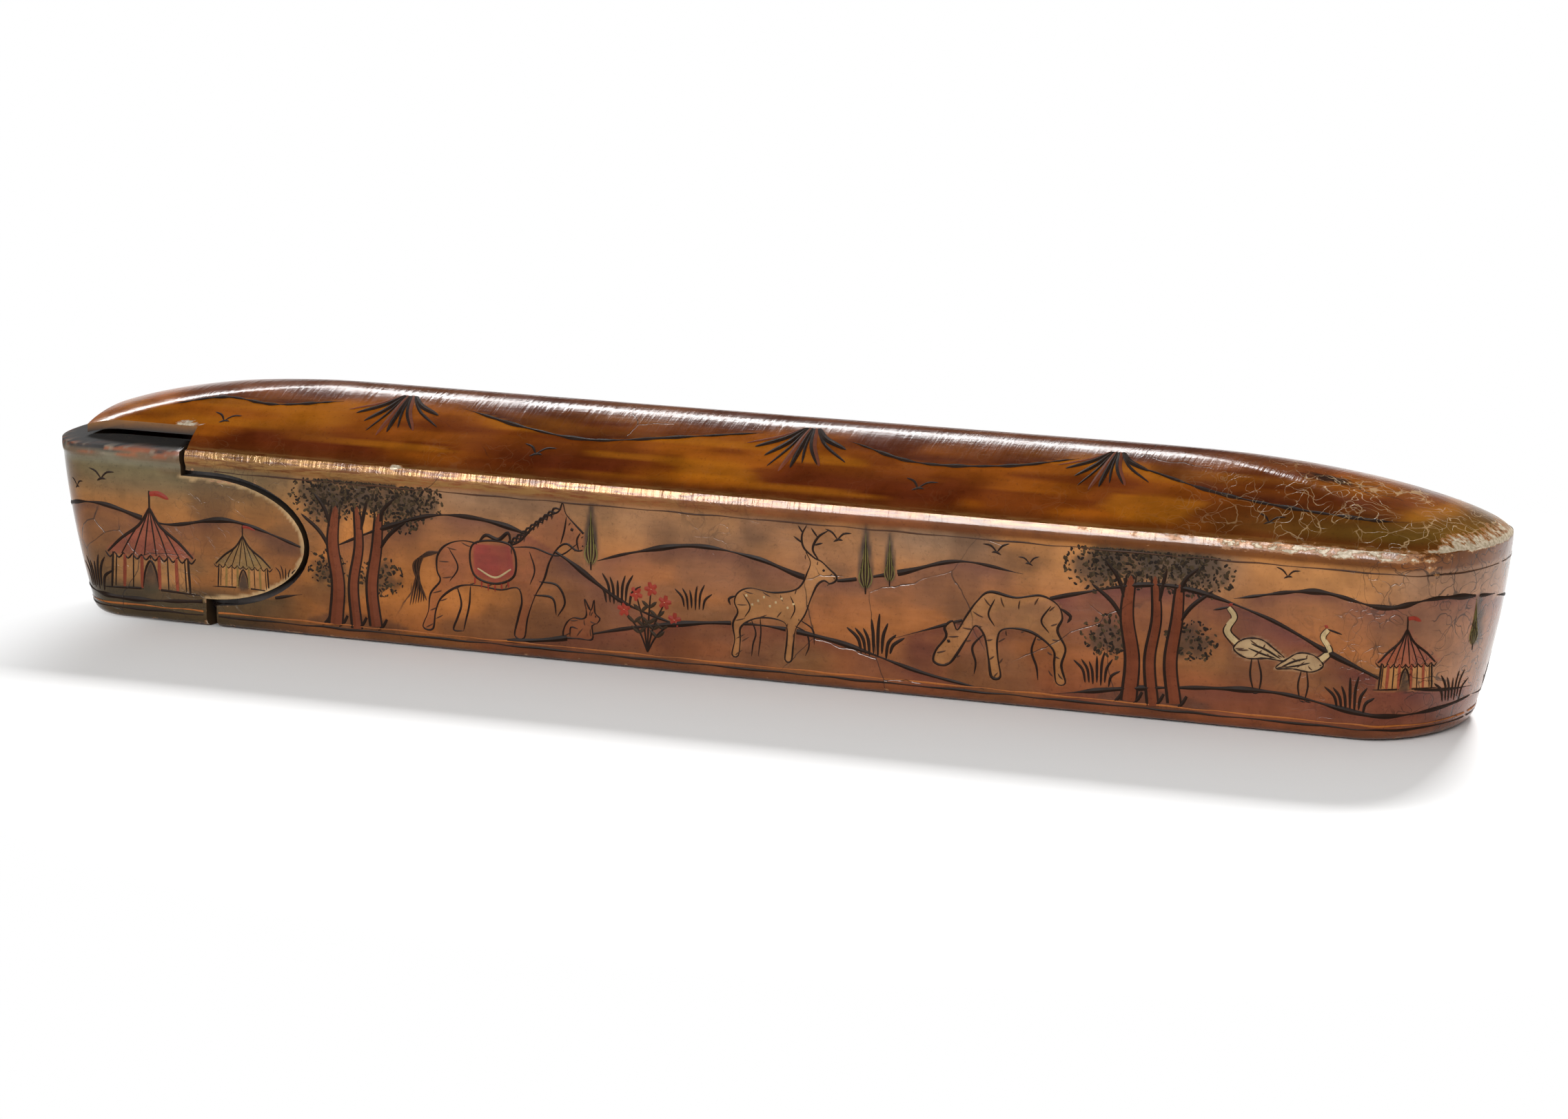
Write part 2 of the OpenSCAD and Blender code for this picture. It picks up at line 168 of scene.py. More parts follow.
floor_corners = [(x * floor_reach, y * floor_reach, 0) for x, y in ((-1, -1), (1, -1), (1, 1), (-1, 1))]
studio_floor = new_piece("studio_floor", floor_corners, [], [(0, 1, 2, 3)])
floor_paint = bpy.data.materials.new("studio_floor")
sheet = Nodes(floor_paint)
floor_place = sheet.put("ShaderNodeTexCoord")["Object"]
floor_away = sheet.vectors("DISTANCE", {0: floor_place, 1: floor_middle})["Value"]
floor_fade = sheet.ramp(floor_away, fade_from, fade_to)
floor_matt = sheet.put("ShaderNodeBsdfDiffuse", {"Color": floor_grey})
floor_white = sheet.put("ShaderNodeEmission", {"Strength": 1.0})
floor_mix = sheet.put("ShaderNodeMixShader", {0: floor_fade, 1: floor_matt[0], 2: floor_white[0]})
sheet.put("ShaderNodeOutputMaterial", {"Surface": floor_mix[0]})
studio_floor.data.materials.append(floor_paint)

# Form of the box: the case was pasted up over a wooden core, so its outside is one stack of level
# outlines with straight sides and rounded ends that lean in, a rolled shoulder and a vaulted top.
shoulder = 27.0
half_long = 115.5
half_wide = 16.5
vault_rise = 9.7
vault_fall = 50.0
tip_curve = 1.5
crest_round = 0.5
crest_flat = 0.03
end_bulge = 9.4
end_lean = 5.5
end_lean_curve = 1.55
side_lean = 0.6
edge_round = 1.4
edge_steps = 5
floor_shares = (0.08, 0.3, 0.55, 0.8)
roll_height = 2.6
roll_proud = 0.4
groove_depth = 0.38
groove_width = 0.45
groove_reach = 1.4
groove_least_rise = 5.0
groove_steps = np.linspace(0.1, 1.3, 9)
case_wall = 1.8
vault_wall = 1.5
arch_span = math.hypot(crest_round, 1.0) - crest_round
quarter_round = 20.6
slope_length = 19.4


def half_length(z):
    return half_long - end_lean * np.maximum(1 - z / shoulder, 0) ** end_lean_curve


def half_width(z):
    return half_wide - side_lean * (1 - z / shoulder)


def roll_swell(z):
    share = np.clip((z - shoulder + roll_height) / roll_height, 0, 1)
    return roll_proud * np.sin(np.pi * share)


def arch(u):
    return 1 - (np.sqrt(crest_round ** 2 + u ** 2) - crest_round) / arch_span


def arch_width(g):
    return np.sqrt(np.maximum(((1 - g) * arch_span + crest_round) ** 2 - crest_round ** 2, 0))


def tip_setback(g):
    return vault_fall * (1 - np.sqrt(np.maximum(1 - g ** tip_curve, 0)))


def hand_waver(p):
    """How far the hand-pasted skin lies under the true form, in millimetres."""
    x, y, z = p[..., 0], p[..., 1], p[..., 2]
    slow = np.sin(x / 19.0 + 0.7) * np.cos(z / 8.0 + y / 11.0) + np.sin(x / 31.0 - z / 13.0 + 2.0)
    quick = np.sin(x / 5.3 + y / 4.1 + 1.1) * np.sin(z / 3.7 + x / 9.0)
    return -0.11 + 0.030 * slow + 0.010 * quick


def levels_of(wall_top, inset, rise, wall_steps, vault_steps, rolled):
    """Height, half length, half width and groove depth of each outline, from the underside to the crest."""
    rows = []
    flat_long = half_length(inset) - inset - edge_round
    flat_wide = half_width(inset) - inset - edge_round
    for share in floor_shares:
        rows.append((inset, flat_long - (1 - share) * flat_wide, share * flat_wide, 0.0))
    for i in range(edge_steps + 1):
        turn = math.pi / 2 * i / edge_steps
        z = inset + edge_round * (1 - math.cos(turn))
        tuck = inset + edge_round * (1 - math.sin(turn))
        rows.append((z, half_length(z) - tuck, half_width(z) - tuck, 0.0))
    for z in np.linspace(rows[-1][0], wall_top, wall_steps + 1)[1:]:
        swell = roll_swell(z) if rolled else 0.0
        rows.append((z, half_length(z) - inset, half_width(z) - inset + swell, 0.0))
    top_long, top_wide = rows[-1][1], rows[-1][2]
    shares = np.linspace(1, crest_flat, vault_steps + 1)[1:]
    groove = 0.0
    if rolled and rise > groove_least_rise:
        shares = np.concatenate([1 - groove_steps / top_wide, shares[shares < 1 - groove_reach / top_wide]])
        groove = groove_depth
    for u in shares:
        g = arch(u)
        inward = (1 - u) * top_wide / groove_width
        dip = groove * inward * math.exp(1 - inward)
        rows.append((wall_top + rise * g, top_long - tip_setback(g), top_wide * u, dip))
    return np.array(rows)


def outline_weights(front_steps, back_steps, end_steps):
    """Round an outline: each point's share of the straight half, of the end's swell and of the half width."""
    turn = np.linspace(-np.pi / 2, np.pi / 2, end_steps + 1)
    run_back = np.linspace(1, -1, back_steps + 1)[1:-1]
    run_front = np.linspace(-1, 1, front_steps + 1)[1:-1]
    straight = np.concatenate([np.ones_like(turn), run_back, -np.ones_like(turn), run_front])
    swell = np.concatenate([np.cos(turn), 0 * run_back, -np.cos(turn), 0 * run_front])
    across = np.concatenate([np.sin(turn), 1 + 0 * run_back, -np.sin(turn), -1 + 0 * run_front])
    return straight, swell, across


def stacked_faces(levels, count):
    """Faces of a closed stack of outlines: both ends, and the walls from each outline to the next."""
    here = np.arange(count)
    onward = (here + 1) % count
    faces = [here[::-1].tolist(), ((levels - 1) * count + here).tolist()]
    for low in range(0, (levels - 1) * count, count):
        high = low + count
        faces.extend(np.stack([low + here, low + onward, high + onward, high + here], -1).tolist())
    return faces


def form_mesh(name, rows, weights, wavering):
    """Closed mesh through the outlines, with every level's outline joined to the next."""
    straight, swell, across = weights
    z, hl, hw, dip = (column[:, None] for column in rows.T)
    grid = np.stack([straight * (hl - end_bulge) + swell * end_bulge, across * hw, z - dip * across ** 2], -1)
    if wavering:
        along = np.roll(grid, -1, 1) - np.roll(grid, 1, 1)
        upward = np.gradient(grid, axis=0)
        lie = np.cross(along, upward)
        lie /= np.linalg.norm(lie, axis=-1, keepdims=True)
        grid = grid + lie * hand_waver(grid)[..., None]
        grid[..., 2] = np.maximum(grid[..., 2], 0)
        grid[:len(floor_shares), :, 2] = rows[0, 0]
    return new_piece(name, grid.reshape(-1, 3), [], stacked_faces(len(rows), len(straight)))


def store(mesh, name, kind, domain, values):
    """Keeps a value for each point, corner or face on the mesh."""
    field = {"FLOAT_VECTOR": "vector", "FLOAT_COLOR": "color"}.get(kind, "value")
    number = np.int32 if kind == "INT" else np.float32
    mesh.attributes.new(name, kind, domain).data.foreach_set(field, np.asarray(values, number).ravel())


def mark_faces(piece, kind):
    """Notes on each face which surface it comes from, so that it can still be told after the cuts."""
    store(piece.data, "surface_kind", "INT", "FACE", np.full(len(piece.data.polygons), kind))


def settle(piece, modifier):
    """Keeps what a modifier makes of the piece as its plain mesh."""
    shown = piece.evaluated_get(bpy.context.evaluated_depsgraph_get())
    result = bpy.data.meshes.new_from_object(shown)
    piece.modifiers.remove(modifier)
    piece.data = result


def carve(piece, tool, operation):
    """Cuts, joins or keeps what piece shares with tool, and throws the tool away."""
    cut = piece.modifiers.new("cut", "BOOLEAN")
    cut.operation = operation
    cut.solver = "MANIFOLD"
    cut.object = tool
    settle(piece, cut)
    bpy.data.objects.remove(tool)

# Painted design: a calm park of hills, trees, tents and grazing animals, drawn for this box with a
# fine brush in dark brown over thin washes. Places are in millimetres along the side and up it.
brush_lines = []
washes = []
hills = []
leaf_clouds = []
dark_ink = "#281a12"
soft_ink = "#4a3020"
trunk_red = "#6f3a24"
rose_red = "#8e3527"
red_cloth = "#86402c"
olive_cloth = "#7c6236"
pale_hide = "#a87440"
warm_hide = "#8c4b28"
cream_white = "#bda377"
leaf_dark = "#37291b"
olive_wash = "#6d6437"
vault_shade = "#4a1d0a"
border_red = "#a5602c"
ink_weight = 0.85
hide_strength = 0.62
light_press = (0.25, 0.15)
leaf_spread = 1.35


def tone(code):
    """A colour code as the linear light values that the shader reads."""
    share = np.array([int(code[i:i + 2], 16) / 255 for i in (1, 3, 5)])
    return np.where(share <= 0.04045, share / 12.92, ((share + 0.055) / 1.055) ** 2.4)


def flowing(points, closed=False, step=0.45):
    """A smooth line through the given points."""
    p = np.array(points, float)
    if closed:
        p = np.vstack([p[-1:], p, p[:2]])
    else:
        p = np.vstack([2 * p[0] - p[1], p, 2 * p[-1] - p[-2]])
    runs = []
    for a, b, c, d in zip(p, p[1:], p[2:], p[3:]):
        t = np.linspace(0, 1, max(2, int(np.linalg.norm(c - b) / step) + 1), endpoint=False)[:, None]
        runs.append(0.5 * (2 * b + (c - a) * t + (2 * a - 5 * b + 4 * c - d) * t ** 2
                           + (3 * b - a - 3 * c + d) * t ** 3))
    runs.append(p[-2][None])
    return np.concatenate(runs)


def stroke(panel, points, width, press=light_press, colour=dark_ink, closed=False):
    """One pull of the brush: press gives how broad it starts and ends against its full width."""
    line = flowing(points, closed)
    along = np.linspace(0, 1, len(line))
    swell = np.sin(np.pi * along) ** 0.55
    low = press[0] + (press[1] - press[0]) * along
    brush_lines.append((panel, line, ink_weight * abs(width) * (low + (1 - low) * swell), colour))


def placed(here, points):
    """A motif's points on its panel; here is the panel, the place along it, the ground, size and facing."""
    panel, along, ground, size, facing = here
    p = np.array(points, float)
    return np.stack([along + facing * size * p[:, 0], ground + size * p[:, 1]], -1)


def pull(here, points, width, *how):
    """One pull of the brush in a motif."""
    stroke(here[0], placed(here, points), width * here[3], *how)


def wash(here, points, colour, strength, rounded=True):
    """A thin filled shape of colour under the ink of a motif; ink drawn before it is hidden by it."""
    outline = placed(here, points)
    if rounded:
        outline = flowing(outline, True)
    washes.append((here[0], outline, colour, strength, len(brush_lines)))


def hill(panel, points, colour, depth, strength, width=0.95):
    """A ridge: a dark line along its top, and a shade under it that fades downwards."""
    line = flowing(points)
    hills.append((panel, line, colour, depth, strength))
    along = np.linspace(0, 1, len(line))
    broad = width * (0.62 + 0.38 * np.sin(along * 17 + points[0][0]) * np.sin(along * 41))
    broad *= np.clip(np.minimum(along, 1 - along) * 10, 0.12, 1)
    brush_lines.append((panel, line, broad, dark_ink))


def tuft(here, blades):
    """A clump of grass, each blade one short pull outwards from the ground."""
    for i in range(blades):
        lean = -1 + 2 * (i + 0.5) / blades
        tall = 5.4 * (1 - 0.5 * lean * lean) * (0.75 + 0.4 * math.sin(7 * i + here[1]) ** 2)
        root = (lean * 2.6, 0.5 * math.sin(3 * i))
        pull(here, [root, (lean * 3.2, tall * 0.6), (lean * 5.2, tall)], 0.62, (0.3, 0.25))


def plane_tree(here, clouds):
    """Three reddish stems edged with ink, forked branches and clouds of stippled leaves."""
    for points, broad in (
        ([(-1.2, 0), (-0.7, 6), (-1.5, 12), (-0.9, 17.6)], 2.2),
        ([(2.4, -0.4), (1.9, 6), (2.9, 12), (2.6, 17.8)], 1.6),
        ([(5.6, 0.2), (5.0, 6), (5.9, 12), (6.3, 17.0)], 1.9),
    ):
        pull(here, points, 1.15 * broad, (0.95, 0.12), trunk_red)
        for shift, ink_width in ((-broad / 2, 0.8), (broad / 2, 0.5)):
            pull(here, [(x + shift * (1 - 0.02 * y), y) for x, y in points], ink_width, (0.8, 0.3))
        pull(here, [(x + 0.1 * broad, y * 0.9 + 1) for x, y in points], 0.3, (0.3, 0.1), soft_ink)
    for points in (
        [(-1.4, 10), (-3.6, 13.5), (-6.8, 16)], [(5.8, 11), (8.0, 14), (11.2, 16.5)],
        [(-1.4, 13), (-2.8, 17), (-4.8, 19.5)], [(5.9, 14), (7.0, 17.5), (9.2, 19.6)],
        [(2.6, 12), (3.6, 16), (4.4, 19)],
    ):
        pull(here, points, 0.75, (0.9, 0.15))
    wash(here, [(-6, 0.2), (-1, 1.6), (6, 1.5), (11, 0.2), (6, -1.0), (-1, -1.1)], soft_ink, 0.6)
    for x in (-2.6, 0.2, 3.4, 6.8):
        pull(here, [(x + 0.6, 1.4), (x, 0.4), (x - 0.9, -0.4)], 0.6, (0.8, 0.1))
    for x, y, radius in clouds:
        (cx, cy), = placed(here, [(x, y)])
        leaf_clouds.append((here[0], cx, cy, radius * here[3]))


def cypress(here):
    """A dark flame of a tree with upward strokes."""
    flame = [(-0.9, 0.8), (-1.7, 4), (-1.2, 9), (0.2, 14.2), (1.4, 9), (1.8, 4), (0.9, 0.8)]
    wash(here, flame, leaf_dark, 0.85)
    for i in range(9):
        x = -1.5 + 3 * i / 8
        top = 12.6 - 4.2 * abs(x)
        needle = [(0.35 * x, 0.8), (x, 0.42 * top), (0.4 * x + 0.1, top)]
        pull(here, needle, 0.34, (0.3, 0.1), dark_ink if i % 2 else olive_wash)
    pull(here, [(0, -0.6), (0, 1.2)], 0.5, (0.8, 0.6))


def tent(here, cloth):
    """A round tent: striped wall, bell roof, scalloped eave, dark door and a pennant."""
    roof = [(-6.5, 4.7), (-4.4, 6.6), (-1.6, 8.6), (0, 11), (1.6, 8.6), (4.4, 6.6), (6.5, 4.7), (0, 4.2)]
    wash(here, [(-6, 0), (-5.7, 4.8), (5.7, 4.8), (6, 0)], pale_hide, 0.75, False)
    wash(here, roof, cloth, 0.8)
    for i in range(9):
        x = -5.2 + 1.3 * i
        width, colour = (0.62, cloth) if i % 2 else (0.26, dark_ink)
        pull(here, [(x * 1.04, 0.2), (x, 4.5)], width, (0.7, 0.7), colour)
    for x in (-4.4, -2.6, -0.9, 0.9, 2.6, 4.4):
        pull(here, [(x, 4.6), (x * 0.62, 7.2), (0, 10.8)], 0.26, (0.7, 0.3))
    for i in range(10):
        x = -6.2 + 1.38 * i
        pull(here, [(x - 0.7, 4.7), (x, 4.0), (x + 0.7, 4.7)], 0.3, (0.5, 0.5))
    pull(here, roof[:4], 0.5, (0.6, 0.5))
    pull(here, roof[3:7], 0.5, (0.5, 0.6))
    for side in (-1, 1):
        pull(here, [(6 * side, 0), (5.7 * side, 4.7)], 0.45, (0.7, 0.6))
    pull(here, [(-7.4, -0.1), (0, 0.15), (7.4, -0.1)], 0.4, (0.2, 0.2))
    wash(here, [(-1.2, 0), (-0.7, 2.6), (0, 3.8), (0.7, 2.6), (1.2, 0)], dark_ink, 0.9)
    pull(here, [(-1.3, 0), (-0.8, 2.6), (0, 3.9), (0.8, 2.6), (1.3, 0)], 0.4)
    pull(here, [(0, 10.8), (0, 13.2)], 0.35, (0.9, 0.8))
    pull(here, [(0.1, 12.8), (1.4, 12.9), (3.0, 12.3)], 0.85, (0.9, 0.1), rose_red)


def beast(here, hide, body, lines, width=0.42):
    """An animal: a wash of hide, its outline in ink, the lines inside it and short hatching at its edge."""
    panel, at, ground, size, facing = here
    wash(here, body, hide, hide_strength)
    outline = flowing(placed(here, body), True)
    along = np.linspace(0, 1, len(outline))
    swell = 0.72 + 0.34 * np.sin(along * 23 + at) * np.sin(along * 57)
    brush_lines.append((panel, outline, width * ink_weight * size * swell, dark_ink))
    for broad, *points in lines:
        pull(here, points, broad)
    middle = outline.mean(0)
    for i in range(0, len(outline), 7):
        inward = middle - outline[i]
        inward *= size * (0.8 + 0.5 * math.sin(9 * i)) / np.linalg.norm(inward)
        start = outline[i] + 0.3 * inward
        hatch = [start, start + 0.5 * inward + (0.15, 0), start + inward + (0.45, 0.1)]
        stroke(panel, hatch, 0.24 * size, light_press, soft_ink)


def saddled_horse(here):
    """A horse with a saddle cloth, a combed mane and a long tail."""
    beast(here, warm_hide, [
        (28.5, 13.7), (29.4, 14.5), (28.9, 15.8), (27.2, 17.4), (25.9, 18.7), (25.4, 20.2), (24.7, 18.9),
        (22.7, 18.0), (20.2, 15.9), (18.0, 13.9), (14.4, 12.9), (9.6, 13.5), (6.6, 12.7), (5.1, 11.0),
        (5.0, 8.8), (5.5, 7.4), (3.9, 5.4), (3.5, 2.8), (2.6, 0.5), (4.2, 0.3), (4.7, 2.9), (5.7, 5.0),
        (8.4, 6.8), (11.4, 7.2), (15.2, 6.9), (18.0, 7.4), (18.7, 5.6), (18.1, 3.2), (17.5, 0.5), (19.0, 0.3),
        (19.6, 3.2), (20.8, 6.4), (22.3, 9.0), (23.2, 11.6), (24.6, 13.7), (26.0, 14.4), (27.4, 13.6),
    ], [
        (0.42, (21.5, 8.6), (24.4, 8.3), (25.6, 6.0), (24.4, 3.8)),
        (0.42, (20.6, 6.6), (23.6, 6.4), (24.2, 4.0)),
        (0.42, (8.2, 6.9), (8.9, 4.4), (8.3, 2.4), (7.6, 0.5), (9.2, 0.4)),
        (0.38, (10.4, 7.0), (10.2, 4.4), (9.6, 2.0), (9.2, 0.4)), (0.7, (26.6, 16.4), (27.1, 16.6)),
        (0.4, (28.4, 14.2), (28.8, 14.4)), (0.34, (27.9, 13.5), (27.6, 15.0), (28.2, 16.2)),
        (0.34, (25.0, 14.3), (25.6, 16.2), (26.0, 18.3)),
        (0.32, (27.8, 14.6), (24.6, 12.6), (20.6, 13.4), (17.2, 13.2)),
        (0.3, (7.0, 12.2), (8.4, 9.6), (7.0, 7.4)), (0.3, (20.0, 12.8), (20.8, 10.2), (20.0, 8.0)),
    ])
    for i in range(11):
        x = 25.2 - 0.72 * i
        y = 19.2 - 0.53 * i
        pull(here, [(x, y), (x - 1.2, y + 0.1), (x - 1.7, y - 1.3)], 0.4)
    for i in range(7):
        hair = [(5.5, 11.6), (3.0 - 0.3 * i, 11.0 - 0.25 * i), (1.4 + 0.25 * i, 7.0 - 0.3 * i)]
        hair.append((0.5 + 0.45 * i, 3.4 + 0.15 * i))
        pull(here, hair, 0.42, light_press, dark_ink if i % 2 else soft_ink)
    cloth = [(11.0, 13.2), (16.9, 13.5), (17.6, 9.3), (14.4, 7.7), (10.9, 8.9)]
    wash(here, cloth, rose_red, 0.95, False)
    pull(here, cloth, 0.42, (0.8, 0.8), dark_ink, True)
    pull(here, [(11.6, 9.7), (14.4, 8.6), (17.0, 10.0)], 0.34, (0.6, 0.6), cream_white)
    for i in range(6):
        sag = 0.8 * math.sin(i * 0.6)
        pull(here, [(11.2 + 1.05 * i, 8.6 - sag), (11.1 + 1.1 * i, 7.3 - sag)], 0.34, light_press, rose_red)
    pull(here, [(11.8, 13.4), (13.0, 14.6), (15.0, 14.1), (16.6, 15.2), (17.0, 13.6)], 0.7)


def stag(here):
    """A stag with branched antlers and a spotted back."""
    beast(here, pale_hide, [
        (20.6, 13.4), (21.6, 13.9), (21.8, 14.7), (20.5, 15.8), (19.1, 16.9), (18.0, 17.3), (16.4, 18.3),
        (17.2, 16.6), (16.6, 14.8), (15.6, 12.8), (14.0, 11.7), (10.4, 11.1), (6.5, 11.5), (4.3, 10.6),
        (3.6, 9.0), (4.2, 7.4), (3.3, 5.4), (3.6, 2.8), (3.1, 0.3), (4.2, 0.2), (4.6, 2.8), (4.7, 4.9),
        (6.8, 6.4), (9.6, 6.9), (12.3, 6.5), (13.0, 5.4), (12.9, 3.0), (12.6, 0.3), (13.7, 0.2), (14.1, 3.0),
        (14.6, 5.6), (16.2, 8.0), (17.3, 10.8), (18.4, 13.0), (19.6, 13.8),
    ], [
        (0.36, (6.6, 6.4), (7.4, 4.2), (6.9, 2.4), (6.6, 0.3)), (0.32, (8.2, 6.8), (8.3, 4.2), (7.8, 0.4)),
        (0.36, (14.4, 6.0), (16.4, 5.0), (16.9, 3.0), (16.2, 1.2)),
        (0.32, (15.4, 7.0), (17.6, 5.6), (17.8, 3.2)),
        (0.6, (19.3, 15.4), (19.8, 15.5)), (0.4, (21.3, 14.2), (21.5, 14.4)),
        (0.5, (3.8, 10.0), (2.6, 9.4), (2.9, 8.4)), (0.28, (5.2, 10.4), (6.4, 8.4), (5.4, 6.6)),
        (0.28, (13.6, 10.8), (14.4, 8.8), (13.6, 7.0)),
        (0.5, (18.7, 17.0), (17.6, 18.8), (18.6, 20.8), (20.4, 22.0)), (0.4, (17.8, 19.4), (19.4, 19.9)),
        (0.4, (18.5, 20.7), (17.3, 22.2)), (0.45, (18.0, 17.2), (16.0, 18.9), (15.7, 20.9), (16.6, 22.6)),
        (0.4, (15.8, 19.6), (14.2, 20.6)), (0.36, (15.9, 21.2), (15.0, 22.4)),
    ])
    for i in range(9):
        x = 5.6 + 1.05 * i
        y = 10.2 - 0.7 * ((i * 5) % 3)
        pull(here, [(x, y), (x + 0.35, y + 0.05)], 0.5, (0.8, 0.8), cream_white)


def grazing_doe(here):
    """A doe with its head down."""
    beast(here, pale_hide, [
        (17.2, 0.9), (18.3, 1.3), (18.0, 2.6), (16.7, 4.3), (16.9, 5.4), (15.9, 6.2), (15.3, 5.2),
        (14.2, 6.9), (12.8, 8.8), (11.2, 10.0), (8.0, 9.6), (4.9, 10.1), (2.8, 9.2), (2.2, 7.7), (2.8, 6.2),
        (1.8, 4.2), (2.3, 2.2), (1.8, 0.2), (2.9, 0.1), (3.2, 2.2), (3.3, 3.9), (5.4, 5.5), (7.6, 6.0),
        (9.7, 5.7), (10.3, 4.4), (10.2, 2.3), (9.9, 0.2), (11.0, 0.1), (11.4, 2.3), (11.9, 4.8),
        (13.0, 5.9), (14.0, 4.5), (15.2, 2.6), (16.2, 1.3),
    ], [
        (0.36, (5.4, 5.5), (6.0, 3.6), (5.4, 1.8), (5.2, 0.2)),
        (0.36, (12.0, 5.0), (13.4, 3.4), (13.0, 1.6), (13.2, 0.2)), (0.55, (16.2, 3.7), (16.6, 3.9)),
        (0.5, (2.4, 8.8), (1.2, 8.0), (1.6, 7.2)), (0.28, (3.6, 9.0), (4.8, 7.2), (3.8, 5.8)),
        (0.28, (10.6, 9.2), (11.4, 7.4), (10.6, 6.0)),
    ])


def hare(here):
    """A sitting hare."""
    beast(here, warm_hide, [
        (0, 0.3), (0.3, 2.1), (1.5, 3.2), (3.1, 3.2), (3.8, 3.9), (3.5, 6.2), (4.5, 4.6), (5.1, 6.2),
        (5.2, 4.3), (6.0, 3.5), (5.5, 2.7), (4.7, 2.3), (4.7, 0.3), (2.4, 0.2),
    ], [(0.5, (5.2, 3.7), (5.4, 3.75)), (0.3, (1.0, 0.4), (1.2, 1.8), (2.4, 1.6))], 0.36)


def crane(here):
    """A standing crane with a bent neck."""
    pull(here, [(0.9, 5.9), (-0.7, 7.6), (0.3, 9.4), (-0.5, 10.6)], 1.0, (0.9, 0.6), cream_white)
    beast(here, cream_white, [
        (0.2, 5.4), (1.6, 6.7), (3.8, 6.9), (5.6, 5.9), (7.4, 4.4), (4.8, 4.5), (2.0, 4.3),
    ], [
        (0.26, (1.3, 6.4), (-0.2, 7.7), (0.7, 9.5), (-0.2, 10.9)),
        (0.26, (0.3, 5.5), (-1.2, 7.5), (-0.1, 9.3), (-0.8, 10.4)), (0.36, (-0.3, 10.7), (-2.6, 10.1)),
        (0.34, (2.7, 4.4), (2.5, 2.2), (3.0, 0)), (0.34, (3.5, 4.4), (4.0, 2.2), (3.7, 0)),
        (0.36, (2.6, 6.2), (4.6, 5.6), (6.6, 4.6)), (0.3, (2.2, 5.6), (4.2, 5.0), (6.0, 4.6)),
        (0.3, (3.0, 0), (2.0, -0.1)), (0.3, (3.7, 0), (2.9, -0.2)),
    ], 0.34)
    pull(here, [(-0.5, 10.9), (0.1, 11.2)], 0.6, light_press, rose_red)


def flower_bush(here):
    """Thin stems with paired leaves and open red flowers."""
    for x, y in ((-3.4, 5.4), (-1.6, 7.6), (0.6, 8.4), (2.6, 6.8), (4.0, 4.6)):
        pull(here, [(0, 0), (0.35 * x, 0.5 * y), (x, y)], 0.32, (0.8, 0.4))
        for share in (0.45, 0.7):
            lx, ly = share * x * 0.8, share * y
            for side in (-1, 1):
                pull(here, [(lx, ly), (lx + side * 1.1, ly + 0.9)], 0.6, (0.4, 0.1), leaf_dark)
        for i in range(5):
            turn = i * 1.257 + x
            petal = (x + 0.95 * math.cos(turn), y + 0.95 * math.sin(turn))
            pull(here, [(x, y), petal], 0.75, (0.5, 0.7), rose_red)
        pull(here, [(x - 0.15, y), (x + 0.15, y)], 0.45, (0.9, 0.9), cream_white)


def bird(here):
    """A small bird on the wing."""
    pull(here, [(0, 0), (1.4, 1.3), (3.2, 1.5)], 0.5)
    pull(here, [(0, 0), (-1.2, 1.4), (-2.8, 2.0)], 0.5)
    pull(here, [(-0.9, -0.5), (0.2, 0.05), (1.2, -0.1)], 0.6)


def spread_shrub(here):
    """A shrub of stiff stems that fan out from one root."""
    for i in range(11):
        lean = -1 + 0.2 * i
        x = 8.5 * lean * (0.85 + 0.15 * math.sin(3 * i))
        y = 7.6 - 3.6 * lean * lean + 0.8 * math.sin(5 * i)
        stem = [(0.9 * lean, 0), (0.45 * x, 0.55 * y), (x, y)]
        pull(here, stem, 0.95 if i % 3 else 0.5, (0.6, 0.15), dark_ink if i % 4 else trunk_red)


def draw_panel(panel, ridges, motifs):
    """Draws a panel's ridges, then its motifs in the order in which they were painted."""
    for ridge in ridges:
        hill(panel, *ridge)
    for motif, along, ground, size, facing, *more in motifs:
        motif((panel, along, ground, size, facing), *more)


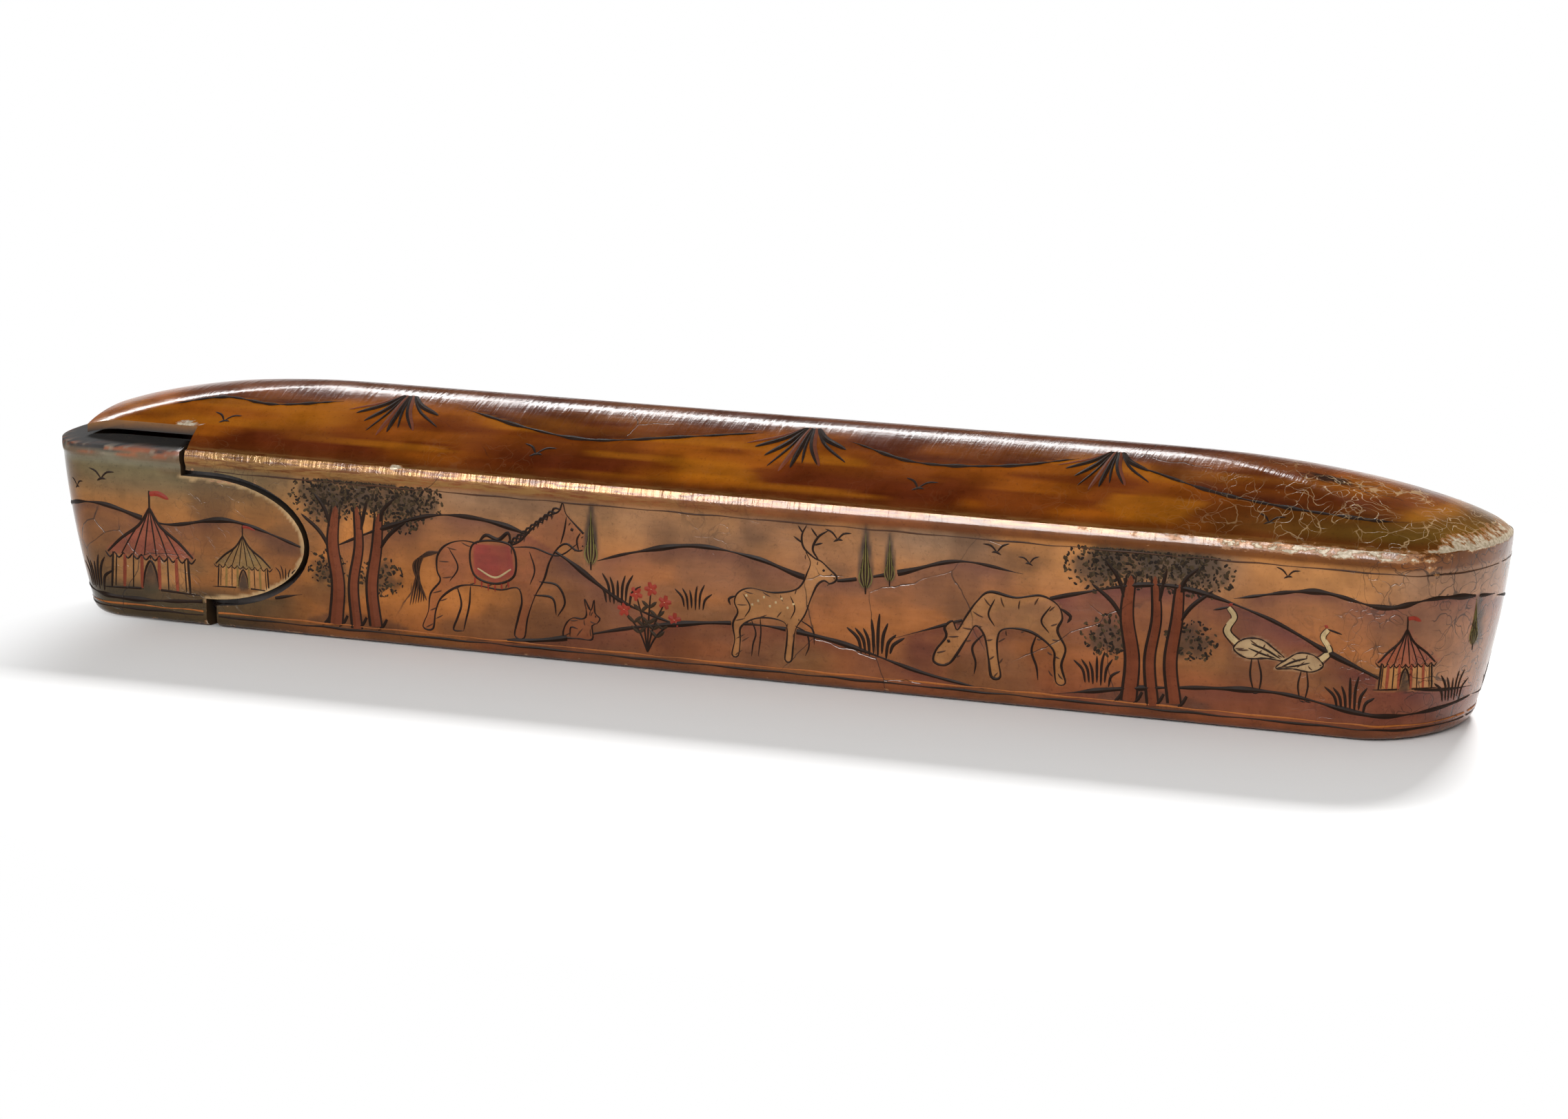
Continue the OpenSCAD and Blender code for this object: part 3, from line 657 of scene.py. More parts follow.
draw_panel("front", [
    ([(-127, 14.0), (-116, 16.2), (-104, 17.6), (-92, 15.2), (-80, 16.6), (-66, 13.0)], "#5c3321", 4.2, 0.85),
    ([(-127, 5.4), (-112, 4.2), (-96, 3.2), (-78, 4.6), (-68, 6.4)], "#4f3a20", 2.6, 0.8),
    ([(-64, 13.4), (-54, 17.6), (-44, 20.4), (-33, 19.6), (-24, 16.0), (-14, 10.0), (-4, 7.0)],
     "#5f3322", 5.4, 0.9),
    ([(-20, 15.0), (-12, 17.4), (-2, 19.2), (8, 18.2), (18, 15.8), (30, 17.8), (40, 20.4), (50, 19.4)],
     "#6a3b28", 4.0, 0.8),
    ([(-40, 1.9), (-26, 3.2), (-10, 6.6), (6, 8.4), (20, 7.2), (34, 3.8), (44, 2.2)], "#6b3721", 4.0, 0.85),
    ([(30, 8.4), (44, 13.0), (58, 17.2), (72, 19.6), (86, 16.6), (98, 11.4), (108, 8.0), (122, 6.4)],
     "#642f22", 7.0, 0.92),
    ([(82, 18.6), (94, 20.6), (104, 19.2), (114, 20.6), (127, 19.4)], "#653527", 4.0, 0.85),
    ([(54, 2.4), (70, 4.8), (88, 5.8), (104, 3.8), (124, 5.0)], "#6a3522", 3.6, 0.85),
], [
    (tent, -94.5, 4.8, 1.16, 1, red_cloth),
    (tent, -78.2, 6.4, 0.74, 1, olive_cloth),
    (tuft, -105.5, 4.4, 0.95, 1, 7),
    (tuft, -70.8, 8.4, 0.42, 1, 5),
    (bird, -103.0, 21.4, 0.75, 1),
    (bird, -108.5, 19.8, 0.6, 1),
    (plane_tree, -61.0, 2.4, 1.02, 1, [
        (-3.6, 18.6, 3.4), (0.5, 20.0, 3.8), (5.5, 20.2, 3.6), (9.6, 18.0, 3.4), (13.2, 19.2, 2.6),
        (-2.2, 8.2, 2.4), (6.6, 7.6, 2.6)]),
    (saddled_horse, -50.0, 2.8, 1.04, 1),
    (tuft, -14.6, 9.6, 0.85, 1, 7),
    (flower_bush, -9.8, 2.8, 1.12, 1),
    (stag, 1.2, 3.4, 0.9, 1),
    (tuft, -2.2, 9.8, 0.7, -1, 6),
    (cypress, -19.0, 14.6, 0.68, 1),
    (cypress, 25.4, 14.8, 0.68, 1),
    (cypress, 29.2, 16.2, 0.52, 1),
    (tuft, 27.0, 5.6, 1.0, 1, 8),
    (grazing_doe, 58.8, 4.0, 1.24, -1),
    (hare, -23.6, 3.6, 1.0, 1),
    (tuft, 61.4, 4.6, 0.8, 1, 7),
    (plane_tree, 67.5, 2.6, 1.02, 1, [
        (-6.0, 18.6, 3.4), (-1.0, 20.0, 3.9), (4.5, 20.2, 4.0), (9.4, 19.0, 3.4), (-4.2, 8.8, 2.8),
        (8.0, 9.2, 2.6)]),
    (crane, 81.8, 5.6, 1.1, 1),
    (crane, 95.6, 5.0, 0.98, -1),
    (tuft, 99.4, 4.2, 0.85, 1, 7),
    (tent, 108.6, 7.6, 0.8, 1, red_cloth),
    (tuft, 117.4, 5.2, 0.8, 1, 7),
    (cypress, 121.0, 12.4, 0.6, 1),
    (bird, 21.0, 22.0, 0.7, 1),
    (bird, 46.0, 22.2, 0.7, -1),
    (bird, 51.0, 21.0, 0.55, -1),
    (bird, 90.0, 22.4, 0.6, 1),
])
draw_panel("back", [
    ([(-127, 14.0), (-110, 16.6), (-92, 14.6), (-74, 17.2), (-66, 13.6)], "#5c3321", 4.2, 0.85),
    ([(-64, 13.6), (-48, 18.6), (-30, 16.8), (-12, 19.6), (8, 16.8), (24, 10.2), (34, 7.0)],
     "#5f3322", 5.4, 0.9),
    ([(10, 9.0), (28, 14.8), (48, 19.0), (70, 16.2), (90, 18.8), (110, 17.0), (127, 19.4)],
     "#642f22", 6.0, 0.9),
    ([(-60, 3.2), (-36, 6.0), (-10, 4.4), (16, 6.8), (44, 3.8), (76, 6.0), (108, 4.0), (124, 5.0)],
     "#6a3522", 3.6, 0.85),
], [
    (tent, -93.0, 5.2, 1.06, 1, olive_cloth),
    (tuft, -78.0, 6.6, 0.8, 1, 6),
    (plane_tree, -57.5, 2.6, 1.02, 1, [
        (-4.5, 18.4, 3.4), (0.5, 20.0, 3.9), (5.5, 20.0, 3.6), (9.6, 18.2, 3.0), (6.6, 8.0, 2.5)]),
    (grazing_doe, -44.0, 3.8, 1.2, 1),
    (cypress, -16.0, 14.4, 0.7, 1),
    (flower_bush, -10.0, 3.4, 1.1, 1),
    (stag, 21.0, 4.4, 0.9, -1),
    (tuft, 29.0, 5.2, 0.95, 1, 8),
    (crane, 40.0, 4.4, 1.1, -1),
    (crane, 47.0, 3.8, 0.96, 1),
    (plane_tree, 65.0, 3.4, 1.0, 1, [
        (-5.5, 18.8, 3.4), (-0.5, 20.2, 3.9), (5.0, 20.2, 3.8), (9.6, 18.8, 3.0), (-4.0, 9.0, 2.6)]),
    (hare, 82.0, 4.8, 1.0, -1),
    (tent, 98.0, 5.6, 0.98, 1, red_cloth),
    (tuft, 115.0, 4.6, 0.85, 1, 7),
    (bird, -104, 20.8, 0.7, 1),
    (bird, 2, 22.2, 0.7, 1),
    (bird, 30, 21.0, 0.7, 1),
    (bird, 88, 21.8, 0.7, 1),
])
for panel, shift in (("front_vault", 0.0), ("back_vault", 9.0)):
    draw_panel(panel, [
        ([(-94, 8.6), (-86, 11.0), (-77, 10.2), (-66, 12.2)], vault_shade, -4.0, 0.9, 0.8),
        ([(-46 + shift, 12.8), (-34 + shift, 9.6), (-22 + shift, 8.2), (-8 + shift, 10.4), (4 + shift, 12.8)],
         vault_shade, -4.6, 0.9, 0.85),
        ([(18 + shift, 12.4), (30 + shift, 9.0), (44 + shift, 9.8), (54 + shift, 12.6)],
         vault_shade, -4.6, 0.9, 0.85),
        ([(64, 11.6), (76, 8.0), (88, 6.2), (98, 5.4), (106, 5.0)], vault_shade, -4.0, 0.9, 0.85),
    ], [
        (spread_shrub, -56, 15.0, -1.15, -1),
        (spread_shrub, 11 + shift, 15.0, -1.2, -1),
        (spread_shrub, 59, 15.0, -1.05, -1),
        (bird, -84, 6.0, 0.8, 1),
        (bird, -30, 4.6, 0.9, 1),
        (bird, 32, 4.2, 0.85, 1),
        (bird, 86, 3.4, 0.7, 1),
    ])
borders = ((1.75, -128, 0.34, dark_ink), (2.35, -128, 0.26, border_red), (23.9, -86, 0.22, soft_ink))
for panel in ("front", "back"):
    for high, start, broad, colour in borders:
        line = flowing([(s, high + 0.07 * math.sin(s * 0.9 + 5 * high)) for s in range(start, 129, 4)])
        uneven = broad * (0.8 + 0.35 * np.sin(line[:, 0] * 0.37 + 3 * high))
        brush_lines.append((panel, line, uneven, colour))

# Case: a sleeve of paper pasted in layers over a core, cut open at one end for the tray's head. It is
# sized with fine plaster, painted, and varnished many times, so the colours lie under a warm gloss.
upper_cut = -88.8
lower_cut = -84.8
tongue_reach = 17.3
tongue_half = 9.3
tongue_level = 13.6
seam_gap = 0.9
foot_gap = 1.8
plate_from = -107.5
plate_half = 12.7
plate_floor = 26.0
past_side = 40.0
past_end = -130.0
below_floor = -5.0
above_crest = 50.0
past_seam = 60.0
skin_from = 0.35
roll_foot = 24.2
roll_on = 24.9
far_off = 9.0
crack_scale = 58.0
crack_waver = 0.003
hair_waver = 0.0055
hair_scales = ((250.0, 0.1), (330.0, 0.3), (430.0, 0.7))
crisp_angle = math.radians(35)
PAINTED, INSIDE, CUT_EDGE = 0, 1, 2


def head_outline(gap, foot):
    """Side view of the head that slides out: its two cuts and the rounded tongue between them."""
    turn = np.linspace(-np.pi / 2, np.pi / 2, 29)
    x = lower_cut + gap + tongue_reach * np.cos(turn)
    x[0] = lower_cut + foot
    tongue = np.stack([x, tongue_level + (tongue_half + gap) * np.sin(turn)], -1)
    low = [(past_end, below_floor), (lower_cut + foot, below_floor)]
    high = [(upper_cut + gap, tongue_level + tongue_half + gap), (upper_cut + gap, above_crest)]
    return np.vstack([low, tongue, high, [(past_end, above_crest)]])


def inside_by(points, polygon):
    """Distance of each point from a closed outline, positive on its inside."""
    nearest = np.full(len(points), 1e9)
    within = np.zeros(len(points), bool)
    for a, b in zip(polygon, np.roll(polygon, -1, 0)):
        run = b - a
        share = np.clip(((points - a) @ run) / max(run @ run, 1e-12), 0, 1)
        nearest = np.minimum(nearest, np.linalg.norm(points - a - share[:, None] * run, axis=1))
        crosses = (a[1] > points[:, 1]) != (b[1] > points[:, 1])
        rise = run[1] if run[1] else 1e-12
        within ^= crosses & (points[:, 0] < a[0] + (points[:, 1] - a[1]) * run[0] / rise)
    return np.where(within, nearest, -nearest)


def prism(name, outline, half_depth):
    """A block with the given side view, from one side of the box to the other."""
    count = len(outline)
    corners = [(x, y, z) for y in (-half_depth, half_depth) for x, z in outline]
    faces = [tuple(range(count)), tuple(range(2 * count - 1, count - 1, -1))]
    faces += [((i + 1) % count, i, i + count, (i + 1) % count + count) for i in range(count)]
    piece = new_piece(name, corners, [], faces)
    mark_faces(piece, CUT_EDGE)
    return piece


def plate_block(reach, half, floor_z):
    """The room that the plate takes up, from its pointed end to beyond the seam."""
    outline = [(reach, floor_z), (past_seam, floor_z), (past_seam, past_seam), (reach, past_seam)]
    return prism("plate_block", outline, half)


case_levels = levels_of(shoulder, 0.0, vault_rise, wall_steps=58, vault_steps=36, rolled=True)
case_round = outline_weights(front_steps=500, back_steps=130, end_steps=40)
painted_case = form_mesh("painted_case", case_levels, case_round, wavering=True)
mark_faces(painted_case, PAINTED)
hollow_rise = vault_rise - vault_wall
hollow_levels = levels_of(shoulder, case_wall, hollow_rise, wall_steps=6, vault_steps=14, rolled=False)
hollow_round = outline_weights(front_steps=20, back_steps=20, end_steps=20)
case_hollow = form_mesh("case_hollow", hollow_levels, hollow_round, wavering=False)
mark_faces(case_hollow, INSIDE)
case_seam = head_outline(seam_gap, foot_gap)
head_cut = prism("head_cut", case_seam, past_side)
carve(head_cut, plate_block(plate_from, plate_half, plate_floor), "DIFFERENCE")
carve(painted_case, case_hollow, "DIFFERENCE")
carve(painted_case, head_cut, "DIFFERENCE")


def drift(s, v, grain, seed):
    """Smooth patchiness between 0 and 1, in blotches about grain millimetres across."""
    a, b = np.floor(s / grain), np.floor(v / grain)
    f, h = s / grain - a, v / grain - b
    f, h = f * f * (3 - 2 * f), h * h * (3 - 2 * h)

    def corner(i, j):
        return np.modf(np.abs(np.sin(i * 127.1 + j * 311.7 + seed * 74.7) * 43758.5453))[0]

    low = corner(a, b) * (1 - f) + corner(a + 1, b) * f
    high = corner(a, b + 1) * (1 - f) + corner(a + 1, b + 1) * f
    return low * (1 - h) + high * h


def ease(x, start, end):
    """Rises smoothly from 0 at start to 1 at end."""
    share = np.clip((x - start) / (end - start), 0, 1)
    return share * share * (3 - 2 * share)


def unrolled(x, half, turn_length):
    """Distance from the middle along an outline of this half length, round its ends too."""
    straight = half - end_bulge
    over = np.clip((np.abs(x) - straight) / end_bulge, 0, 1)
    return np.sign(x) * (np.minimum(np.abs(x), straight) + turn_length * np.arcsin(over) * 2 / np.pi)


def up_vault(x, z):
    """Distance along the vault from its middle and up its slope from the shoulder."""
    g = np.clip((z - shoulder) / vault_rise, 0, 1)
    u = arch_width(g)
    along = unrolled(x, half_long - tip_setback(g), quarter_round * u)
    return along, slope_length * (1 - u) / (1 - crest_flat)


def lay(colour, *coats):
    """Lays thin coats over what is there; each has its cover and its colour."""
    for cover, code in coats:
        colour += (tone(code) - colour) * np.clip(cover, 0, 1)[:, None]


def lay_design(colour, panel, s, v):
    """Hills first, then the filled shapes and the leaf clouds."""
    for on, line, code, depth, strength in hills:
        if on == panel:
            line = line[np.argsort(line[:, 0])]
            first, last = line[0, 0], line[-1, 0]
            under = (np.interp(s, line[:, 0], line[:, 1]) - v) * np.sign(depth)
            here = ease(s, first - 1, first + 4) * ease(-s, -last - 1, -last + 4)
            shade = np.exp(-np.maximum(under, 0) / abs(depth)) * (0.75 + 0.5 * drift(s, v * 2.2, 5.0, 3))
            lay(colour, (strength * here * ease(under, -0.25, 0.25) * shade, code))
    points = np.stack([s, v], -1)
    for on, outline, code, strength, since in washes:
        if on == panel:
            low, high = outline.min(0) - 1, outline.max(0) + 1
            near = np.nonzero(np.all((points > low) & (points < high), axis=1))[0]
            if len(near):
                cover = np.zeros(len(points))
                depth = inside_by(points[near], outline)
                uneven = 0.8 + 0.35 * drift(points[near, 0], points[near, 1], 1.6, 5)
                cover[near] = strength * ease(depth, -0.3, 0.25) * uneven
                lay(colour, (cover, code))
    for on, cx, cy, radius in leaf_clouds:
        if on == panel:
            away = np.hypot((s - cx) / leaf_spread, v - cy) / radius
            fringe = away + 0.5 * (drift(s, v, 1.3, 7) - 0.5) + 0.3 * (drift(s, v, 0.7, 8) - 0.5)
            lay(colour, (0.72 * ease(-fringe, -1.1, -0.55), leaf_dark))


def side_paint(panel, x, v):
    """Colours of an upright side: sky, ground and design, a gilt shoulder roll and a border at the foot."""
    s = unrolled(x, half_length(v), quarter_round)
    colour = np.repeat(tone("#b66f2b")[None], len(s), 0)
    smoke = ease(drift(s, v * 2.4, 19.0, 14), 0.4, 0.75)
    hollow = ease(drift(s, v * 2.6, 10.0, 17), 0.3, 0.7)
    lay(colour,
        (ease(s, -58, 4), "#a4622b"),
        (0.85 * ease(v, 13, 23) * (0.5 + 0.5 * drift(s, v * 3, 16.0, 1)), "#a87640"),
        (0.75 * ease(v, 16, 24) * smoke, "#7a604a"),
        (0.8 * ease(v, 17, 24) * ease(-s, 56, 92), "#736b47"),
        (0.8 * ease(-v, -11, 0) * (0.4 + drift(s, v * 3, 12.0, 2)), "#78401f"),
        (0.75 * ease(drift(s, v * 3.2, 15.0, 4), 0.5, 0.8) * ease(-v, -19, -4), "#74552a"),
        (0.55 * ease(drift(s, v * 2.0, 7.0, 16), 0.55, 0.85), "#5c3a1e"),
        (0.5 * ease(-v, -11, -3) * ease(s, 16, 60), "#793a20"),
        (0.5 * ease(s, -44, -16) * ease(-s, -46, -8) * hollow, "#6d4c34"),
        (0.6 * ease(s, 96, 120), "#966b50"),
        (0.34 * ease(-s, 60, 72), "#463820"))
    lay_design(colour, panel, s, v)
    roll = ease(v, roll_foot, roll_on)
    lay(colour,
        (0.55 * ease(-v, -2.4, -1.2), "#6e3a1c"),
        (0.85 * ease(-v, -7.0, -4.5) * ease(-s, 62, 84), "#3d331c"),
        (0.92 * roll, "#6b3a10"),
        (0.6 * roll * ease(s, -74, -38) * ease(-s, -72, -14), "#874a28"))
    roll_top = 0.4 * ease(v, 25.8, 26.8) * ease(s, -30, 20) * ease(-s, -110, -84)
    gilt = roll * (0.75 * ease(-s, -30, 40) + roll_top)
    wear = 0.30 * ease(-v, -1.3, -0.2) + 0.16 * ease(v, 25.2, 26.6)
    wear += 0.30 * ease(v, roll_foot, 26.0) * ease(s, 46, 92) * ease(-s, -118, -106)
    wear += 0.05 * ease(np.abs(s), 104, 118) + 0.06 * ease(v, 25.0, 26.0) * ease(s, 78, 92)
    wear += 0.30 * ease(-np.hypot((s - 112.5) / 1.8, (v - 24.0) / 2.8), -1.1, -0.5)
    craze = 0.12 + 0.85 * ease(s, 88, 112) + 0.25 * ease(drift(s, v, 22.0, 6), 0.55, 0.9)
    return colour, np.stack([wear, craze, gilt], -1)


def vault_paint(panel, x, z):
    """Colours of the vault: amber ground, brown drifts and the same brush over it."""
    s, w = up_vault(x, z)
    colour = np.repeat(tone("#985006")[None], len(s), 0)
    lay(colour,
        (0.90 * ease(drift(s, w * 3.4, 24.0, 11), 0.34, 0.56) * ease(-w, -12, -3), "#4e1703"),
        (0.75 * ease(drift(s, w * 6.0, 12.0, 12), 0.46, 0.70), "#602604"),
        (0.55 * ease(drift(s, w * 9.0, 17.0, 15), 0.60, 0.80), "#ac660a"),
        (0.65 * ease(s, 62, 108) * ease(-w, -9, -2), "#6a541c"),
        (0.75 * ease(w, 11.0, 16.0), "#45200f"))
    lay_design(colour, panel, s, w)
    lay(colour, (0.8 * ease(-w, -2.6, -0.6), "#5a2a08"))
    wear = 0.16 * ease(-w, -0.9, 0) + 0.22 * ease(s, 56, 94) * ease(-w, -1.0, -0.2)
    # Pale patch at the right tip: partly worn plaster, partly a painted highlight where the tip's varnish
    # catches the light.
    wear += 0.38 * ease(s, 110.0, 114.0) * ease(-w, -3.8, -1.6)
    wear += 0.14 * ease(s, 108, 114) + 0.12 * ease(w, 15.5, 18.5)
    craze = 0.03 + 0.97 * ease(s, 66, 98) + 0.1 * ease(drift(s, w, 20.0, 13), 0.6, 0.9)
    return colour, np.stack([wear, craze, 0.3 * ease(-w, -0.8, -0.2)], -1)


def skin_paint(points):
    """Colour, and wear, crazing and gilding, for points anywhere on the outside, in millimetres."""
    x, y, z = points.T
    colour = np.repeat(tone("#5a3420")[None], len(points), 0)
    marks = np.repeat([[0.16, 0.2, 0.0]], len(points), 0)
    vaulted = z > shoulder - 0.02
    for panel, facing in (("front", y < 0), ("back", y >= 0)):
        below = (side_paint, panel, facing & (z > skin_from) & ~vaulted)
        above = (vault_paint, panel + "_vault", facing & vaulted)
        for paint, on, part in (below, above):
            if part.any():
                colour[part], marks[part] = paint(on, x[part], z[part])
    return colour, marks


def case_paint(points):
    """The skin of the case and its chips: pale at the plate's corner and on the roll, dark by the crest."""
    colour, marks = skin_paint(points)
    x, y, z = points.T
    ragged = 0.9 * (drift(x, y, 0.7, 31) - 0.5)
    for at_x, at_y, long, wide in ((-89.6, -12.5, 2.2, 0.9), (-52.0, -16.1, 1.7, 0.6)):
        chip = np.hypot((x - at_x) / long, (y - at_y) / wide) + ragged
        marks[:, 0] += 0.5 * ease(-chip, -1.1, -0.6) * (z > shoulder - 1.5)
    chip = np.hypot((x - 91.6) / 3.6, (y + 4.4) / 1.4) + ragged
    lay(colour, (0.9 * ease(-chip, -1.1, -0.8) * (z > shoulder), "#150b06"))
    return colour, marks


def store_paint(mesh, domain, colour, marks):
    """Keeps colour, and wear, crazing and gilding, on the mesh for the lacquer to read."""
    store(mesh, "paint", "FLOAT_COLOR", domain, np.concatenate([colour, np.ones((len(colour), 1))], 1))
    store(mesh, "marks", "FLOAT_VECTOR", domain, marks)


def fetch(items, field, width, number):
    """One value of every item of a mesh, as an array."""
    values = np.zeros(len(items) * width, number)
    items.foreach_get(field, values)
    return values


def paint_cut_piece(piece, paint_skin, seam_outline, seam_wear, inner_code, cut_shade_code, plate_code):
    """Paints the outside, darkens the inside, paints the cut faces dark as painted shade of the seam gap, and
    leaves broken edges where the seam is cut.
    """
    mesh = piece.data
    points = fetch(mesh.vertices, "co", 3, np.float32).reshape(-1, 3).astype(float) / MM
    corner_point = fetch(mesh.loops, "vertex_index", 1, np.int32)
    face_kind = fetch(mesh.attributes["surface_kind"].data, "value", 1, np.int32)
    corner_kind = np.repeat(face_kind, fetch(mesh.polygons, "loop_total", 1, np.int32))
    colour, marks = paint_skin(points)
    off_seam = np.abs(inside_by(points[:, [0, 2]], seam_outline))
    off_seam[(points[:, 2] > shoulder) & (np.abs(points[:, 1]) < plate_half - 0.4)] = far_off
    marks[:, 0] += seam_wear * (ease(-off_seam, -0.75, 0) + 0.3 * ease(-off_seam, -2.2, -0.4))
    on_outside = np.zeros(len(points), bool)
    on_outside[corner_point[corner_kind == PAINTED]] = True
    corner_colour = colour[corner_point]
    corner_marks = marks[corner_point]
    inside = corner_kind == INSIDE
    corner_colour[inside] = tone(inner_code)
    cut = corner_kind == CUT_EDGE
    # The cut faces are painted dark brown: painted shade that stands for the shadow in the narrow seam gap.
    corner_colour[cut] = np.where(on_outside[corner_point[cut], None], tone(cut_shade_code), tone(inner_code))
    plate_edge = cut & on_outside[corner_point] & (points[corner_point, 2] > shoulder)
    corner_colour[plate_edge] = tone(plate_code)
    corner_marks[inside | cut] = (-0.5, 0.0, 0.0)
    store_paint(mesh, "CORNER", corner_colour, corner_marks)
    mesh.attributes.remove(mesh.attributes["surface_kind"])
    mesh.shade_smooth()
    mesh.set_sharp_from_angle(angle=crisp_angle)


def coat(mesh, material):
    """Gives a mesh this finish alone."""
    mesh.materials.clear()
    mesh.materials.append(material)


class Finish(Nodes):
    """Writes the nodes of one material, which is worked out from the place on the object."""

    def __init__(self, name):
        self.material = bpy.data.materials.new(name)
        super().__init__(self.material)
        self.place = self.put("ShaderNodeTexCoord")["Object"]

    def times(self, first, second):
        return self.maths("MULTIPLY", first, second)

    def plus(self, first, second):
        return self.maths("ADD", first, second)

    def minus(self, first, second):
        return self.maths("SUBTRACT", first, second)

    def axes(self, vector):
        return self.put("ShaderNodeSeparateXYZ", {"Vector": vector})

    def noise(self, scale, detail, rough=0.5, place=None):
        """Cloudy grain; three scales draw it out along the axes."""
        vector = self.place if place is None else place
        if isinstance(scale, tuple):
            vector = self.put("ShaderNodeMapping", {"Vector": vector, "Scale": scale})[0]
            scale = 1.0
        grain = {"Vector": vector, "Scale": scale, "Detail": detail, "Roughness": rough}
        return self.put("ShaderNodeTexNoise", grain)["Fac"]

    def mix(self, share, first, second, kind="MIX"):
        """Mixes two colours."""
        inputs = {0: share, 6: first, 7: second}
        return self.put("ShaderNodeMix", inputs, data_type="RGBA", blend_type=kind)[2]

    def finish(self, colour, gloss, others, relief=None, strength=0.0, depth=0.0):
        """Ends the tree with a surface of this colour, roughness and relief, and gives the material."""
        inputs = {"Base Color": colour, "Roughness": gloss, **others}
        if relief is not None:
            bump = self.put("ShaderNodeBump", {"Strength": strength, "Distance": depth, "Height": relief})
            inputs["Normal"] = bump[0]
        surface = self.put("ShaderNodeBsdfPrincipled", inputs)
        self.put("ShaderNodeOutputMaterial", {"Surface": surface[0]})
        return self.material


def painted_lacquer(name, roughness, shine):
    """Brush-streaked paint under old varnish, crazed, and worn through to bole and plaster at the edges."""
    look = Finish(name)
    ramp, times, plus, minus, mix = look.ramp, look.times, look.plus, look.minus, look.mix
    paint = look.put("ShaderNodeAttribute", attribute_name="paint")["Color"]
    marks = look.put("ShaderNodeAttribute", attribute_name="marks")["Vector"]
    wear, craze, gilt = look.axes(marks)
    height = look.axes(look.place)["Z"]
    streak = look.noise((150, 800, 800), 4.0, 0.6)
    blotch = look.noise(110.0, 5.0, 0.62)
    speck = look.noise(2300.0, 2.0)
    shade = times(ramp(streak, 0.3, 0.7, 0.91, 1.06), ramp(blotch, 0.32, 0.66, 0.74, 1.12))
    shade = times(shade, ramp(speck, 0.28, 0.40, 0.8, 1.0))
    shade_colour = look.put("ShaderNodeCombineColor", {"Red": shade, "Green": shade, "Blue": shade})[0]
    leaf = times(gilt, ramp(look.noise((260, 2400, 2400), 5.0, 0.66), 0.36, 0.60))
    colour = mix(1.0, paint, shade_colour, "MULTIPLY")
    colour = mix(leaf, colour, (0.34, 0.185, 0.055, 1))
    push = look.put("ShaderNodeTexNoise", {"Vector": look.place, "Scale": 130.0, "Detail": 4.0})["Color"]
    push = look.vectors("SUBTRACT", {0: push, 1: (0.5, 0.5, 0.5)})[0]

    def warped(reach, shift):
        """The place, pushed about so that lines drawn there waver."""
        start = look.vectors("ADD", {0: look.place, 1: (shift, 0, 0)})[0]
        return look.vectors("ADD", {0: start, 1: look.vectors("SCALE", {0: push, "Scale": reach})[0]})[0]

    cells = {"Vector": warped(crack_waver, 0.0), "Scale": crack_scale}
    off_edge = look.put("ShaderNodeTexVoronoi", cells, feature="DISTANCE_TO_EDGE")["Distance"]
    wide_crack = times(ramp(off_edge, 0.001, 0.006, 1.0, 0.0), ramp(look.noise(46.0, 2.0), 0.54, 0.62))
    fine_line = 0.0
    for scale, shift in hair_scales:
        off_line = minus(look.noise(scale, 0.0, place=warped(hair_waver, shift)), 0.5)
        off_line = look.maths("ABSOLUTE", off_line, 0.0)
        fine_line = look.maths("MAXIMUM", ramp(off_line, 0.004, 0.014, 1.0, 0.0), fine_line)
    fine_crack = times(fine_line, times(craze, ramp(look.noise(150.0, 2.0), 0.40, 0.54)))
    crack_tone = mix(ramp(height, 0.0265, 0.0285), (0.016, 0.009, 0.005, 1), (0.42, 0.27, 0.13, 1))
    colour = mix(times(fine_crack, 0.75), colour, crack_tone)
    colour = mix(times(wide_crack, 0.8), colour, (0.018, 0.010, 0.006, 1))
    loss = plus(wear, times(minus(look.noise((400, 950, 950), 7.0, 0.66), 0.5), 1.5))
    bole = ramp(loss, 0.36, 0.44)
    # Pale plaster shows where wear is high; at the case's right tip this pale patch is also a painted
    # highlight.
    plaster = ramp(loss, 0.50, 0.56)
    plaster_tone = mix(ramp(speck, 0.35, 0.65), (0.36, 0.28, 0.18, 1), (0.58, 0.48, 0.35, 1))
    colour = mix(times(bole, 0.85), colour, (0.33, 0.145, 0.05, 1))
    colour = mix(plaster, colour, plaster_tone)
    gloss = ramp(blotch, 0.3, 0.7, roughness * 0.8, roughness * 1.3)
    for more in (ramp(wear, -0.4, -0.1, 0.6, 0.0), times(bole, 0.25), times(plaster, 0.05)):
        gloss = plus(gloss, more)
    roll_band = times(ramp(height, 0.0242, 0.0250), ramp(height, 0.0276, 0.0268))
    hatched = plus(ramp(height, 0.0315, 0.0350), times(roll_band, 0.6))
    hatch = times(look.noise((1500, 90, 160), 3.0), hatched)
    relief = times(streak, 0.35)
    layers = ((blotch, 0.5), (hatch, 0.8), (wide_crack, -0.25), (fine_crack, -0.2), (plaster, -0.5))
    for layer, depth in layers:
        relief = plus(relief, times(layer, depth))
    others = {"IOR": 1.5, "Specular IOR Level": shine, "Metallic": times(leaf, 0.3)}
    return look.finish(colour, gloss, others, relief, strength=0.75, depth=0.12 * MM)


case_lacquer = painted_lacquer("case_lacquer", roughness=0.18, shine=0.25)
brushwork = painted_lacquer("brushwork", roughness=0.48, shine=0.04)
# The case's cut faces are painted dark brown as the shade in the seam gap; the plate's edge keeps a warm
# brown.
case_edges = {"inner_code": "#1a110b", "cut_shade_code": "#33200f", "plate_code": "#8a5a24"}
paint_cut_piece(painted_case, case_paint, case_seam, seam_wear=0.14, **case_edges)
coat(painted_case.data, case_lacquer)
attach(painted_case, "case")
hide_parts("case_shell")

